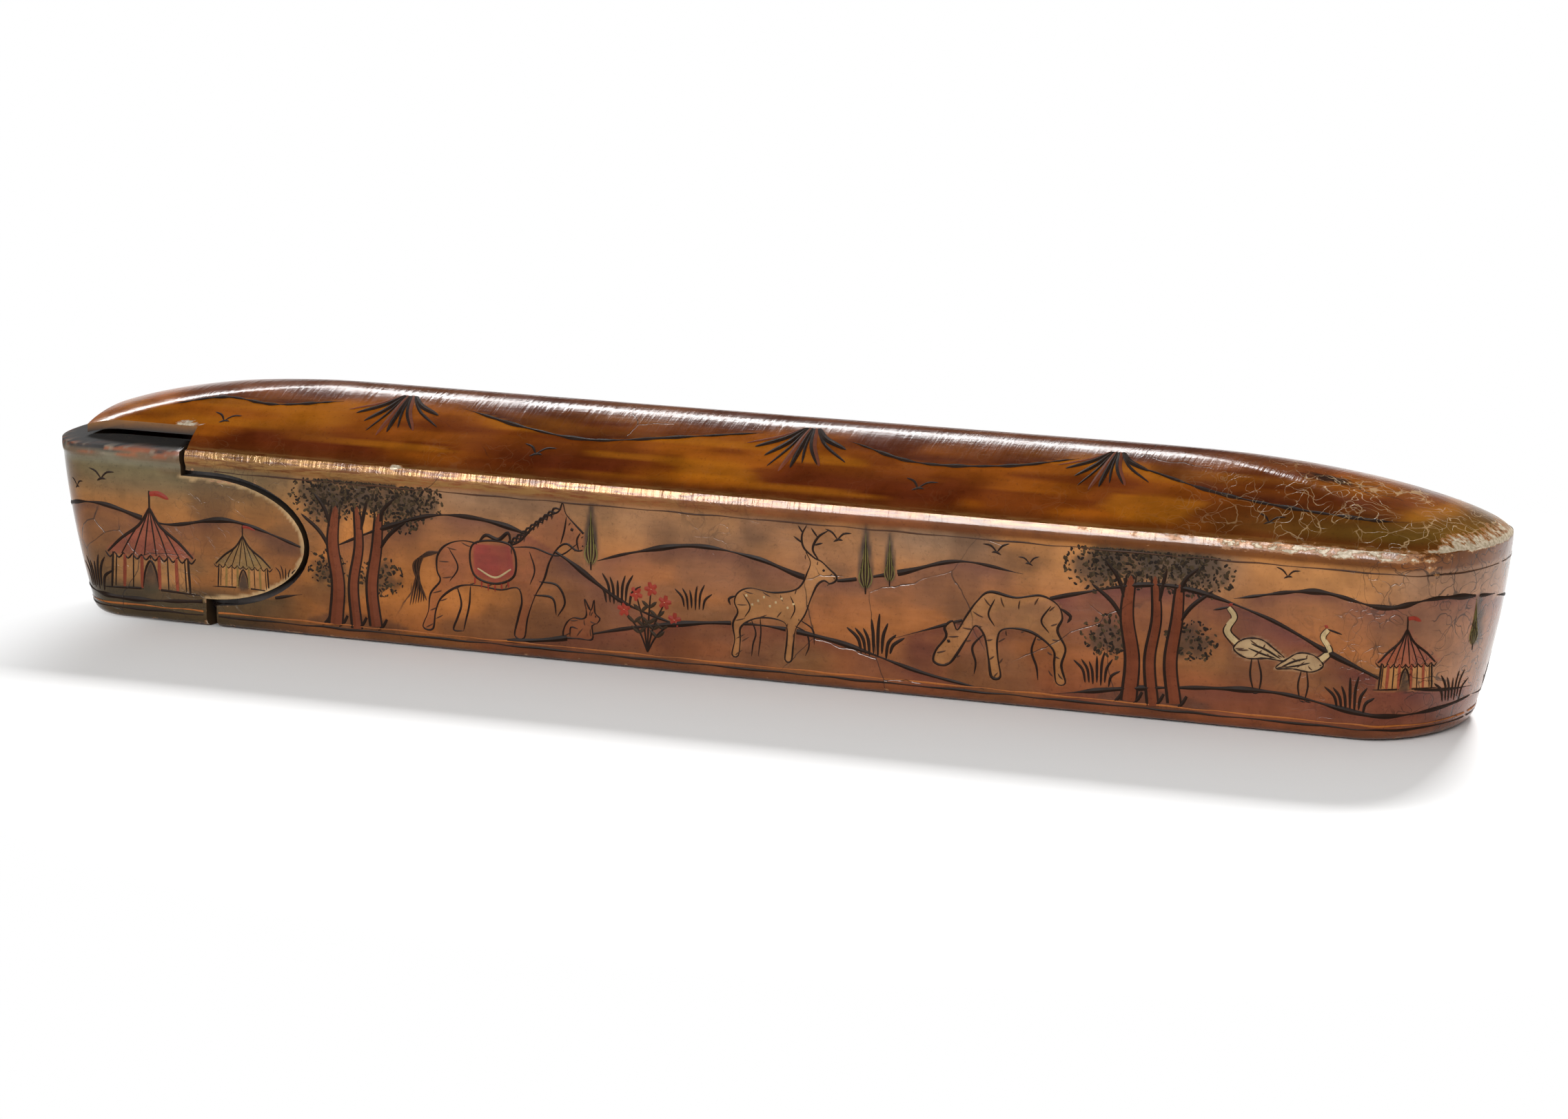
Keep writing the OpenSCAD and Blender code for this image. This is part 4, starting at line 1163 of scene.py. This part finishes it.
# Ink of the case: the drawing was pulled with a fine brush over the washes before the varnish. Each pull
# is a thin strip of dry paint that lies in the surface and narrows to its ends.
ink_lift = 0.01
ink_build_up = 0.05
strip_depth = 0.3
strip_angle = math.radians(10)
tray_inset = 2.1
hiding_strength = 0.61
probe = 0.05
core_half = 95
core_level = 12.0
full_turn = 6.283
end_clear = 0.2
plate_clear = 0.5
cut_clear = 0.4
ink_clear = 0.1


def on_box(panel, s, v):
    """The point of the true form for a place on one of its panels, in millimetres."""
    long, wide, z, turn_length = half_length(v), half_width(v), v, quarter_round
    if panel.endswith("vault"):
        u = 1 - v / slope_length * (1 - crest_flat)
        g = arch(u)
        long, wide, z = half_long - tip_setback(g), half_wide * u, shoulder + vault_rise * g
        turn_length = quarter_round * u
    elif panel.endswith("tray"):
        wide = wide - tray_inset
    else:
        wide = wide + roll_swell(v)
    side = -1 if panel.startswith("front") else 1
    straight = long - end_bulge
    turn = np.clip((np.abs(s) - straight) / turn_length, 0, 1) * np.pi / 2
    x = np.sign(s) * (np.minimum(np.abs(s), straight) + end_bulge * np.sin(turn))
    return np.stack([x, side * wide * np.cos(turn), z + 0 * s], -1)


def on_skin(panel, line, lift):
    """Points on the hand-pasted skin for a brush line, and the way the skin faces there."""
    s, v = line.T
    point = on_box(panel, s, v)
    along = on_box(panel, s + probe, v) - on_box(panel, s - probe, v)
    upward = on_box(panel, s, v + probe) - on_box(panel, s, v - probe)
    facing = np.cross(along, upward)
    facing /= np.linalg.norm(facing, axis=-1, keepdims=True)
    core = np.stack([np.clip(point[:, 0], -core_half, core_half), 0 * s, np.full(len(s), core_level)], -1)
    facing *= np.sign(np.sum(facing * (point - core), -1, keepdims=True))
    skin = 0 * s if panel.endswith("tray") else hand_waver(point)
    return point + facing * (skin + lift)[:, None], facing


def runs_of(keep):
    """First and last index of each unbroken run of kept points."""
    edges = np.flatnonzero(np.diff(np.concatenate([[0], keep.astype(int), [0]])))
    return [(a, b) for a, b in zip(edges[::2], edges[1::2]) if b - a >= 2]


def in_the_open(panel, line, order):
    """False where a figure that was painted later covers an earlier line."""
    s, v = line.T
    clear = np.abs(s) < half_length(v) - end_bulge + quarter_round - end_clear
    for on, outline, code, strength, since in washes:
        if on == panel and since > order and strength > hiding_strength:
            near = np.all((line > outline.min(0)) & (line < outline.max(0)), axis=1)
            if near.any():
                clear[near] &= inside_by(line[near], outline) < 0
    return clear


def brush_points(name, marks, pairs):
    """A piece with only points on the skin, from rows of place, facing, brush size and colour."""
    places, facings, sizes, colours = (np.concatenate(column) for column in zip(*marks))
    piece = new_piece(name, places, pairs, [])
    store(piece.data, "brush_size", "FLOAT", "POINT", sizes * MM)
    store(piece.data, "facing", "FLOAT_VECTOR", "POINT", facings)
    store_paint(piece.data, "POINT", colours, skin_paint(places)[1])
    return piece


class Growth(Nodes):
    """Writes a tree of geometry nodes with named amounts, and grows it on a piece."""

    def __init__(self, name, amounts):
        self.tree = bpy.data.node_groups.new(name, "GeometryNodeTree")
        self.amounts = {}
        sockets = self.tree.interface
        sockets.new_socket("Geometry", in_out="INPUT", socket_type="NodeSocketGeometry")
        for label, amount in amounts.items():
            made = sockets.new_socket(label, in_out="INPUT", socket_type="NodeSocketFloat")
            self.amounts[made.identifier] = amount
        sockets.new_socket("Geometry", in_out="OUTPUT", socket_type="NodeSocketGeometry")
        self.given = self.put("NodeGroupInput")

    def kept(self, name, kind):
        """A value that is kept on the points."""
        return self.put("GeometryNodeInputNamedAttribute", {"Name": name}, data_type=kind)["Attribute"]

    def spun(self, rotation, seed):
        """A rotation with a random turn about its own axis before it."""
        turns = {"Min": 0.0, "Max": full_turn, "Seed": seed}
        turn = self.put("FunctionNodeRandomValue", turns, data_type="FLOAT")
        spin = self.put("FunctionNodeAxisAngleToRotation", {"Axis": (0, 0, 1), "Angle": turn["Value"]})
        both = {"Rotation": rotation, "Rotate By": spin[0]}
        return self.put("FunctionNodeRotateRotation", both, rotation_space="LOCAL")[0]

    def grow(self, piece, shape, material):
        """Ends the tree, runs it on the piece and keeps the result as a plain mesh."""
        whole = self.put("GeometryNodeRealizeInstances", {"Geometry": shape})
        coated = self.put("GeometryNodeSetMaterial", {"Geometry": whole[0], "Material": material})
        self.put("NodeGroupOutput", {"Geometry": coated[0]})
        grown = piece.modifiers.new(self.tree.name, "NODES")
        grown.node_group = self.tree
        for key, amount in self.amounts.items():
            grown[key] = amount
        settle(piece, grown)


def brush_strips(name, belongs, material):
    """Every brush line that belongs to this piece, as a strip: a low wedge that is swept along the line."""
    marks = []
    pairs = []
    start = 0
    for order, (panel, line, broad, code) in enumerate(brush_lines):
        place, facing = on_skin(panel, line, ink_lift + ink_build_up * order / len(brush_lines))
        for a, b in runs_of(belongs(panel, place, broad) & in_the_open(panel, line, order)):
            colours = np.repeat(tone(code)[None], b - a, 0)
            marks.append((place[a:b], facing[a:b], broad[a:b] * 0.5, colours))
            pairs.extend((i, i + 1) for i in range(start, start + b - a - 1))
            start += b - a
    piece = brush_points(name, marks, pairs)
    strip = Growth("brush_strip", {"Strip depth": strip_depth})
    curve = strip.put("GeometryNodeMeshToCurve", {"Mesh": strip.given["Geometry"]})
    outwards = {"Curve": curve[0], "Normal": strip.kept("facing", "FLOAT_VECTOR")}
    turned = strip.put("GeometryNodeSetCurveNormal", outwards, mode="FREE")
    below = strip.put("ShaderNodeCombineXYZ", {"X": strip.given["Strip depth"]})[0]
    corners = {"Point 1": (0, -1, 0), "Point 2": (0, 1, 0), "Point 3": below, "Point 4": below}
    wedge = strip.put("GeometryNodeCurvePrimitiveQuadrilateral", corners, mode="POINTS")
    along = {"Curve": turned[0], "Profile Curve": wedge[0], "Fill Caps": True}
    swept = strip.put("GeometryNodeCurveToMesh", {**along, "Scale": strip.kept("brush_size", "FLOAT")})
    strip.grow(piece, swept[0], material)
    piece.data.shade_smooth()
    piece.data.set_sharp_from_angle(angle=strip_angle)
    return piece


def on_case(panel, place, broad):
    """True for points that stay on the case, clear of the seam and of the plate's edges."""
    x, y, z = place.T
    if panel.endswith("vault"):
        over_head = (x > plate_from + plate_clear) & (np.abs(y) < plate_half - plate_clear)
        return (x > upper_cut + seam_gap + cut_clear) | over_head
    return inside_by(place[:, [0, 2]], case_seam) < -ink_clear - 0.5 * broad


case_ink = brush_strips("case_ink", on_case, brushwork)
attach(case_ink, "case")

# Leaves on the case: the tree crowns are stippled with the tip of a nearly dry brush, so each leaf is one
# small dab of dark paint. The dabs are set over the crowns at random, from one fixed seed.
dab_low = 0.16
dab_high = 0.46
dab_count = 26
dab_sides = 6
dab_top = 0.72
dab_thickness = 0.08
dab_squeeze = 0.55
dab_seed = 5
crown_low = 3
crown_high = 24.0
crown_fringe = 1.25
leaf_tones = ("#2b2015", "#3a2c1b", "#463723", "#241a12")


def leaf_dabs(name, belongs, material):
    """A low dab for each leaf, turned to the skin, squeezed, and spun at random."""
    chance = np.random.default_rng(dab_seed)
    marks = []
    for panel, cx, cy, radius in leaf_clouds:
        count = int(dab_count * radius ** 1.5)
        turn = chance.uniform(0, 2 * np.pi, count)
        reach = radius * np.sqrt(chance.uniform(0, crown_fringe, count))
        s = cx + leaf_spread * reach * np.cos(turn)
        v = np.clip(cy + reach * np.sin(turn), crown_low, crown_high)
        place, facing = on_skin(panel, np.stack([s, v], -1), ink_lift)
        size = chance.uniform(dab_low, dab_high, count)
        pick = chance.integers(0, len(leaf_tones), count)
        keep = belongs(panel, place, 2 * size)
        colours = np.array([tone(leaf_tones[i]) for i in pick])[keep].reshape(-1, 3)
        marks.append((place[keep], facing[keep], size[keep], colours))
    piece = brush_points(name, marks, [])
    leaves = Growth("leaf_dabs", {"Dab thickness": dab_thickness})
    cone = {"Vertices": dab_sides, "Radius Top": dab_top, "Radius Bottom": 1.0}
    cone["Depth"] = leaves.given["Dab thickness"]
    dab = leaves.put("GeometryNodeMeshCone", cone)
    facing = leaves.kept("facing", "FLOAT_VECTOR")
    turned = leaves.put("FunctionNodeAlignRotationToVector", {"Vector": facing}, axis="Z")
    squeeze = leaves.put("ShaderNodeCombineXYZ", {"X": 1.0, "Y": dab_squeeze, "Z": 1.0})
    scale = leaves.vectors("SCALE", {0: squeeze[0], "Scale": leaves.kept("brush_size", "FLOAT")})
    laid = {"Points": leaves.given["Geometry"], "Instance": dab[0], "Scale": scale[0]}
    laid["Rotation"] = leaves.spun(turned[0], dab_seed)
    leaves.grow(piece, leaves.put("GeometryNodeInstanceOnPoints", laid)[0], material)
    return piece


case_leaves = leaf_dabs("case_leaves", on_case, brushwork)
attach(case_leaves, "case")

# Head of the tray: the end block with two rounded tongues that closes the case. Its top is a black
# sloping ledge round the pocket that the case's end plate slides into.
ledge_top = 26.7
ledge_rise = 3.2
tray_height = 26.0
pocket_from = -106.9
pocket_half = 12.1
head_seam = head_outline(0.0, 0.0)
head_levels = levels_of(ledge_top, 0.0, ledge_rise, wall_steps=58, vault_steps=16, rolled=True)
head_round = outline_weights(front_steps=500, back_steps=130, end_steps=48)
painted_head = form_mesh("painted_head", head_levels, head_round, wavering=True)
mark_faces(painted_head, PAINTED)
carve(painted_head, prism("head_block", head_seam, past_side), "INTERSECT")
tray_levels = levels_of(tray_height, tray_inset, 0.0, wall_steps=6, vault_steps=0, rolled=False)
tray_round = outline_weights(front_steps=20, back_steps=20, end_steps=24)
tray_body = form_mesh("tray_body", tray_levels, tray_round, wavering=False)
mark_faces(tray_body, INSIDE)
carve(painted_head, tray_body, "DIFFERENCE")
carve(painted_head, plate_block(pocket_from, pocket_half, tray_height), "DIFFERENCE")


def head_paint(points):
    """The side's own picture goes on over the head; the ledge is plain black with a broken edge."""
    colour, marks = skin_paint(points)
    x, y, up = points.T
    off_seam = np.abs(inside_by(points[:, [0, 2]], head_seam)) + 0.35 * drift(x, up, 1.4, 23)
    grain = drift(x * 0.5, y * 2 + up * 3, 1.1, 21)
    patch = drift(x, y + up, 4.2, 22)
    rim = ease(up, 24.9, 25.6) * ease(-up, -27.0, -26.5)
    lay(colour,
        (0.9 * ease(-off_seam, -0.75, -0.5) * ease(up, 3.6, 4.6) * ease(-up, -23.4, -22.6), "#b8976a"),
        (0.9 * ease(up, 23.2, 24.6), "#726c58"),
        (0.75 * ease(up, 24.2, 25.4) * ease(patch, 0.35, 0.6), "#6a4a2c"),
        (ease(up, 25.2 + 0.9 * patch, 25.7 + 0.9 * patch), "#1a1410"),
        (0.85 * rim * ease(grain, 0.40, 0.62), "#95502a"),
        (0.8 * rim * ease(drift(x, up * 2, 0.8, 24), 0.6, 0.8), "#857663"))
    marks[up > 23.0] = (0.05, 0.1, 0.0)
    marks[:, 0] -= 0.42 * ease(up, 24.6, 25.3) * ease(-up, -29.0, -28.0)
    marks[:, 0] += 0.2 * ease(up, 28.6, 29.8)
    return colour, marks


# The head's cut faces are painted dark brown as the shade in the seam gap.
head_edges = {"inner_code": "#1f140d", "cut_shade_code": "#38260f", "plate_code": "#38260f"}
paint_cut_piece(painted_head, head_paint, head_seam, seam_wear=0.22, **head_edges)
coat(painted_head.data, case_lacquer)
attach(painted_head, "tray")
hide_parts("tray_head")


def on_head(panel, place, broad):
    """True for points that stay on the head's upright sides, clear of its cut edge."""
    clear = inside_by(place[:, [0, 2]], head_seam) > ink_clear + 0.5 * broad
    return clear & (place[:, 2] < tray_height) & (not panel.endswith("vault"))


head_ink = brush_strips("head_ink", on_head, brushwork)
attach(head_ink, "tray")

# Tray: a trough pasted up like the case, lacquered black outside and red inside, with a gilt vine along its
# sides. A thin wall across it, glued in, parts the inkwell from the pens.
vine_gold = "#a5803c"
vine_level = 14.2
vine_swing = 2.3
vine_wave = 9.0
vine_run = range(-62, 107, 3)
vine_leaves = 19
first_leaf = -57
leaf_step = 8.6
vine_lines = (4.6, 23.6)
vine_line_run = range(-64, 110, 4)
petal_count = 6
petal_turn = 1.047
petal_reach = 1.6


def dress(material, *names):
    """Gives CAD nodes that are shown as they are their finish."""
    for name in names:
        coat(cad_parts[name].data, material)


def tray_finish(name):
    """Red lacquer where the tray is hollow and black outside it, stained with ink and rubbed at the rim."""
    look = Finish(name)
    ramp, times, plus, mix = look.ramp, look.times, look.plus, look.mix
    x, y, z = look.axes(look.place)
    outer = ramp(look.maths("ABSOLUTE", y, 0.0), 12.6 * MM, 13.2 * MM)
    outer = look.maths("MAXIMUM", outer, ramp(look.maths("ABSOLUTE", x, 0.0), 111.4 * MM, 112.2 * MM))
    outer = look.maths("MAXIMUM", outer, ramp(z, 2.4 * MM, 2.9 * MM, 1.0, 0.0))
    streak = look.noise((90, 700, 700), 4.0, 0.6)
    blotch = look.noise(130.0, 5.0, 0.6)
    flake = look.noise(900.0, 6.0, 0.66)
    red = mix(ramp(blotch, 0.35, 0.65), (0.105, 0.016, 0.010, 1), (0.21, 0.036, 0.018, 1))
    red = mix(ramp(streak, 0.45, 0.75, 0.0, 0.35), red, (0.30, 0.075, 0.03, 1))
    black = mix(ramp(blotch, 0.35, 0.7), (0.016, 0.010, 0.008, 1), (0.045, 0.022, 0.014, 1))
    stain = times(ramp(look.noise(75.0, 5.0, 0.7), 0.52, 0.62), ramp(x, -62 * MM, -40 * MM, 1.0, 0.25))
    stain = times(stain, ramp(z, 6 * MM, 17 * MM, 0.95, 0.1))
    rub = plus(ramp(z, 25.2 * MM, 25.9 * MM, 0.0, 0.20), look.minus(flake, 0.5))
    bole = ramp(rub, 0.20, 0.30)
    bare = ramp(rub, 0.34, 0.42)
    colour = mix(stain, mix(outer, red, black), (0.012, 0.010, 0.011, 1))
    colour = mix(bole, colour, (0.30, 0.14, 0.06, 1))
    colour = mix(bare, colour, (0.56, 0.47, 0.34, 1))
    gloss = plus(ramp(blotch, 0.3, 0.7, 0.22, 0.36), times(bole, 0.25))
    relief = plus(times(streak, 0.5), times(bare, -0.8))
    others = {"IOR": 1.5, "Specular IOR Level": 0.35}
    return look.finish(colour, gloss, others, relief, strength=0.45, depth=0.1 * MM)


dress(tray_finish("tray_lacquer"), "tray_trough", "tray_partition")


def vine_height(x):
    return vine_level + vine_swing * math.sin(x / vine_wave)


for panel in ("front_tray", "back_tray"):
    stroke(panel, [(x, vine_height(x)) for x in vine_run], 0.42, (0.5, 0.3), vine_gold)
    for i in range(vine_leaves):
        x = first_leaf + leaf_step * i
        y = vine_height(x)
        turn = 1 if i % 2 else -1
        curl = [(x, y), (x + 3.0, y + 3.0 * turn), (x + 5.8, y + 2.6 * turn), (x + 5.0, y + 1.3 * turn)]
        outer_leaf = [(x - 0.4, y), (x + 0.2, y + 2.0 * turn), (x + 1.6, y + 4.4 * turn)]
        inner_leaf = [(x + 0.6, y), (x + 2.6, y - 1.6 * turn), (x + 5.0, y - 1.9 * turn)]
        stroke(panel, curl, 0.36, light_press, vine_gold)
        stroke(panel, outer_leaf, 1.5, (0.2, 0.1), vine_gold)
        stroke(panel, inner_leaf, 1.3, (0.2, 0.1), vine_gold)
        if i % 3 == 1:
            heart = (x + 4.4, y + 5.2 * turn)
            for k in range(petal_count):
                bend = petal_turn * k
                tip = (heart[0] + petal_reach * math.cos(bend), heart[1] + petal_reach * math.sin(bend))
                stroke(panel, [heart, tip], 1.1, (0.4, 0.7), rose_red if k % 2 else vine_gold)
    for high in vine_lines:
        edge = [(x, high + 0.06 * math.sin(x)) for x in vine_line_run]
        stroke(panel, edge, 0.36, (0.7, 0.7), vine_gold)


def on_tray(panel, place, broad):
    """True for the vine on the tray's own sides."""
    return np.full(len(place), panel.endswith("tray"))


tray_vine = brush_strips("tray_vine", on_tray, case_lacquer)
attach(tray_vine, "tray")

# Inkwell: a cup, a cover with a round mouth and a hinged lid, all beaten from brass sheet and soldered.
# The lid turns on a drawn pin. Ink has dried round the mouth and the brass has gone brown.
mouth = (-82.58 * MM, 0, 18 * MM)
mouth_ink = 5.2 * MM
mouth_ink_end = 7.5 * MM
dry_ink = (0.010, 0.009, 0.011, 1)


def brass_finish(name, inked):
    """Beaten brass with brown tarnish; inked is how strongly dried ink lies round the mouth."""
    look = Finish(name)
    ramp, times, plus, minus, mix = look.ramp, look.times, look.plus, look.minus, look.mix
    beaten = {"Vector": look.place, "Scale": 420.0}
    dents = look.put("ShaderNodeTexVoronoi", beaten, feature="SMOOTH_F1")["Distance"]
    cloud = look.noise(210.0, 6.0, 0.62)
    fine = look.noise(1900.0, 3.0)
    tarnish = ramp(cloud, 0.42, 0.66)
    metal = mix(tarnish, (0.60, 0.40, 0.16, 1), (0.25, 0.135, 0.05, 1))
    metal = mix(ramp(fine, 0.58, 0.72, 0.0, 0.6), metal, (0.10, 0.06, 0.03, 1))
    away = look.vectors("DISTANCE", {0: look.place, 1: mouth})["Value"]
    ragged = plus(away, times(minus(cloud, 0.5), 0.012))
    ink = times(ramp(ragged, mouth_ink, mouth_ink_end, 1.0, 0.0), inked)
    gloss = plus(ramp(tarnish, 0.0, 1.0, 0.26, 0.5), times(ink, 0.2))
    relief = plus(dents, times(fine, 0.15))
    bare_metal = {"Metallic": minus(1.0, ink)}
    return look.finish(mix(ink, metal, dry_ink), gloss, bare_metal, relief, strength=0.35, depth=0.25 * MM)


dress(brass_finish("inked_brass", 0.92), "inkwell_cup", "inkwell_cover", "inkwell_lid", "inkwell_pin")

# Silk wad: a pad of raw silk floss that fills the lower half of the inkwell and holds the ink, so that
# the pen takes a little at a time. It is teased out by hand and soaked black.
wad_low = np.array([-95.0, -9.2, 4.95])
wad_high = np.array([-65.6, 9.2, 11.1])
wad_around = 96
wad_levels = 22
wad_corner = 0.45
thread_length = 2.4
thread_radius = 0.045
thread_arch = 0.35
floss_density = 1.1e6
floss_seed = 11


def wad_points():
    """Rings of a lumpy pad with a rounded oblong plan that fits the cup."""
    middle = (wad_low + wad_high) / 2
    reach = (wad_high - wad_low) / 2
    turn = np.linspace(0, 2 * np.pi, wad_around, endpoint=False)
    circle = np.stack([np.cos(turn), np.sin(turn)], -1)
    plan = np.sign(circle) * np.abs(circle) ** wad_corner
    rings = []
    for angle in np.linspace(-np.pi / 2, np.pi / 2, wad_levels + 2)[1:-1]:
        shrink = max(math.cos(angle), 0.0) ** 0.4
        lump = 1 - 0.05 * (1 + np.sin(5 * turn + 3 * angle)) - 0.03 * (1 + np.sin(11 * turn - 4 * angle))
        swell = 1 - 0.07 * (1 + np.sin(4 * turn + 2.0)) * (angle > 0)
        ring = plan * (shrink * lump)[:, None] * reach[:2] * 0.97 + middle[:2]
        z = middle[2] + reach[2] * math.copysign(abs(math.sin(angle)) ** 0.8, angle) * swell * 0.93
        rings.append(np.column_stack([ring, z + 0 * turn]))
    return np.concatenate(rings)


def tease(piece, material):
    """Curled threads set over the pad at random, lying almost flat, joined with the pad itself."""
    floss = Growth("silk_floss", {"Thread length": thread_length * MM, "Thread radius": thread_radius * MM})
    half = floss.maths("MULTIPLY", floss.given["Thread length"], 0.5)
    back = floss.maths("MULTIPLY", half, -1.0)
    rise = floss.maths("MULTIPLY", half, thread_arch)
    ends = {
        "Start": floss.put("ShaderNodeCombineXYZ", {"X": back, "Y": rise})[0],
        "Middle": floss.put("ShaderNodeCombineXYZ", {"Y": back, "Z": rise})[0],
        "End": floss.put("ShaderNodeCombineXYZ", {"X": half, "Y": rise})[0],
    }
    curl = floss.put("GeometryNodeCurveQuadraticBezier", {"Resolution": 7, **ends})
    thread = {"Resolution": 4, "Radius": floss.given["Thread radius"]}
    section = floss.put("GeometryNodeCurvePrimitiveCircle", thread)
    swept = {"Curve": curl[0], "Profile Curve": section[0], "Fill Caps": True}
    fibre = floss.put("GeometryNodeCurveToMesh", swept)
    strewn = {"Mesh": floss.given["Geometry"], "Density": floss_density, "Seed": floss_seed}
    spread = floss.put("GeometryNodeDistributePointsOnFaces", strewn)
    sizes = {"Min": 0.5, "Max": 1.2, "Seed": floss_seed + 1}
    size = floss.put("FunctionNodeRandomValue", sizes, data_type="FLOAT")["Value"]
    laid = {"Points": spread["Points"], "Instance": fibre[0], "Scale": size}
    laid["Rotation"] = floss.spun(spread["Rotation"], floss_seed)
    threads = floss.put("GeometryNodeInstanceOnPoints", laid)
    joined = floss.tree.nodes.new("GeometryNodeJoinGeometry")
    for shape in (floss.given["Geometry"], threads[0]):
        floss.tree.links.new(shape, joined.inputs[0])
    floss.grow(piece, joined.outputs[0], material)


def silk_finish(name):
    """Silk that is black where the ink has soaked it and browner between."""
    look = Finish(name)
    soak = look.noise(260.0, 5.0, 0.6)
    colour = look.mix(look.ramp(soak, 0.38, 0.68), dry_ink, (0.060, 0.048, 0.040, 1))
    return look.finish(colour, look.ramp(soak, 0.35, 0.65, 0.32, 0.8), {"Sheen Weight": 0.25})


ink_wad = new_piece("ink_wad", wad_points(), [], stacked_faces(wad_levels, wad_around))
tease(ink_wad, silk_finish("inked_silk"))
ink_wad.data.shade_smooth()
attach(ink_wad, "tray")
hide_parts("silk_wad")

# Reed pens: three stems of marsh reed, dried brown and hard, each cut to a nib of its own width. They lie
# loose on the tray's floor with the inked nibs towards the closed end.
nib_step = 1.2857
nib_ink = 68.0 * MM
nib_ink_end = 73.5 * MM


def reed_finish(name):
    """Polished reed with long fibres, dark flecks and ink dried on the nib."""
    look = Finish(name)
    ramp, times, plus, mix = look.ramp, look.times, look.plus, look.mix
    x, y, z = look.axes(look.place)
    fibre = look.noise((26, 2600, 2600), 5.0, 0.62)
    cloud = look.noise(70.0, 4.0, 0.6)
    fleck = ramp(look.noise((330, 1500, 1500), 3.0), 0.63, 0.70)
    colour = mix(ramp(fibre, 0.32, 0.68), (0.20, 0.092, 0.030, 1), (0.47, 0.27, 0.10, 1))
    colour = mix(ramp(cloud, 0.40, 0.68, 0.0, 0.55), colour, (0.13, 0.052, 0.018, 1))
    colour = mix(times(fleck, 0.7), colour, (0.045, 0.02, 0.01, 1))
    from_tip = plus(x, times(y, nib_step))
    ink = ramp(plus(from_tip, times(look.minus(cloud, 0.5), 0.016)), nib_ink, nib_ink_end)
    colour = mix(times(ink, 0.95), colour, dry_ink)
    gloss = plus(ramp(fibre, 0.3, 0.7, 0.30, 0.46), times(ink, 0.2))
    return look.finish(colour, gloss, {"Specular IOR Level": 0.4}, fibre, strength=0.4, depth=0.12 * MM)


dress(reed_finish("dried_reed"), "reed_pen_broad", "reed_pen_medium", "reed_pen_fine")

# Penknife, nib rest and spoon: the handle and the rest are cut from bone, the blade is forged steel held in a
# brass ferrule, and the spoon is beaten brass. They lie loose on the pens.
ring_places = (-51.5, -49.5, 13.5, 15.5)
ring_half = 0.15 * MM
ring_edge = 0.35 * MM


def bone_finish(name):
    """Old bone: long grain, fine dark pores, ink in the hollows and pairs of engraved rings."""
    look = Finish(name)
    ramp, times, mix = look.ramp, look.times, look.mix
    x, y, z = look.axes(look.place)
    grain = look.noise((70, 1500, 1500), 5.0, 0.6)
    pore = ramp(look.noise((420, 2400, 2400), 2.0), 0.64, 0.70)
    cloud = look.noise(120.0, 5.0, 0.62)
    ivory = mix(ramp(grain, 0.35, 0.65), (0.56, 0.43, 0.25, 1), (0.76, 0.66, 0.47, 1))
    ivory = mix(ramp(cloud, 0.45, 0.68, 0.0, 0.6), ivory, (0.36, 0.23, 0.11, 1))
    ivory = mix(times(pore, 0.6), ivory, (0.10, 0.06, 0.03, 1))
    ring = 0.0
    for at in ring_places:
        near = look.maths("ABSOLUTE", look.minus(x, at * MM), 0.0)
        ring = look.maths("MAXIMUM", ramp(near, ring_half, ring_edge, 1.0, 0.0), ring)
    ring = times(ring, ramp(y, 4 * MM, 5 * MM))
    spatter = ramp(look.noise(320.0, 4.0, 0.7), 0.64, 0.68)
    colour = mix(look.maths("MAXIMUM", ring, times(spatter, 0.8)), ivory, (0.022, 0.016, 0.014, 1))
    gloss = ramp(cloud, 0.3, 0.7, 0.30, 0.48)
    relief = look.minus(times(grain, 0.4), ring)
    return look.finish(colour, gloss, {"Specular IOR Level": 0.4}, relief, strength=0.4, depth=0.15 * MM)


def steel_finish(name):
    """Forged steel, ground lengthwise, with grey patina and a few rust specks."""
    look = Finish(name)
    grind = look.noise((120, 5200, 5200), 3.0)
    cloud = look.noise(240.0, 6.0, 0.64)
    rust = look.ramp(look.noise(700.0, 5.0, 0.66), 0.62, 0.69)
    metal = look.mix(look.ramp(cloud, 0.36, 0.66), (0.58, 0.58, 0.59, 1), (0.30, 0.30, 0.31, 1))
    colour = look.mix(rust, metal, (0.12, 0.042, 0.016, 1))
    gloss = look.plus(look.ramp(cloud, 0.3, 0.7, 0.24, 0.46), look.times(rust, 0.3))
    bright = {"Metallic": look.minus(1.0, rust)}
    return look.finish(colour, gloss, bright, grind, strength=0.25, depth=0.06 * MM)


dress(bone_finish("old_bone"), "penknife_handle", "nib_rest")
dress(steel_finish("ground_steel"), "penknife_blade")
dress(brass_finish("plain_brass", 0.0), "penknife_ferrule", "ink_spoon")
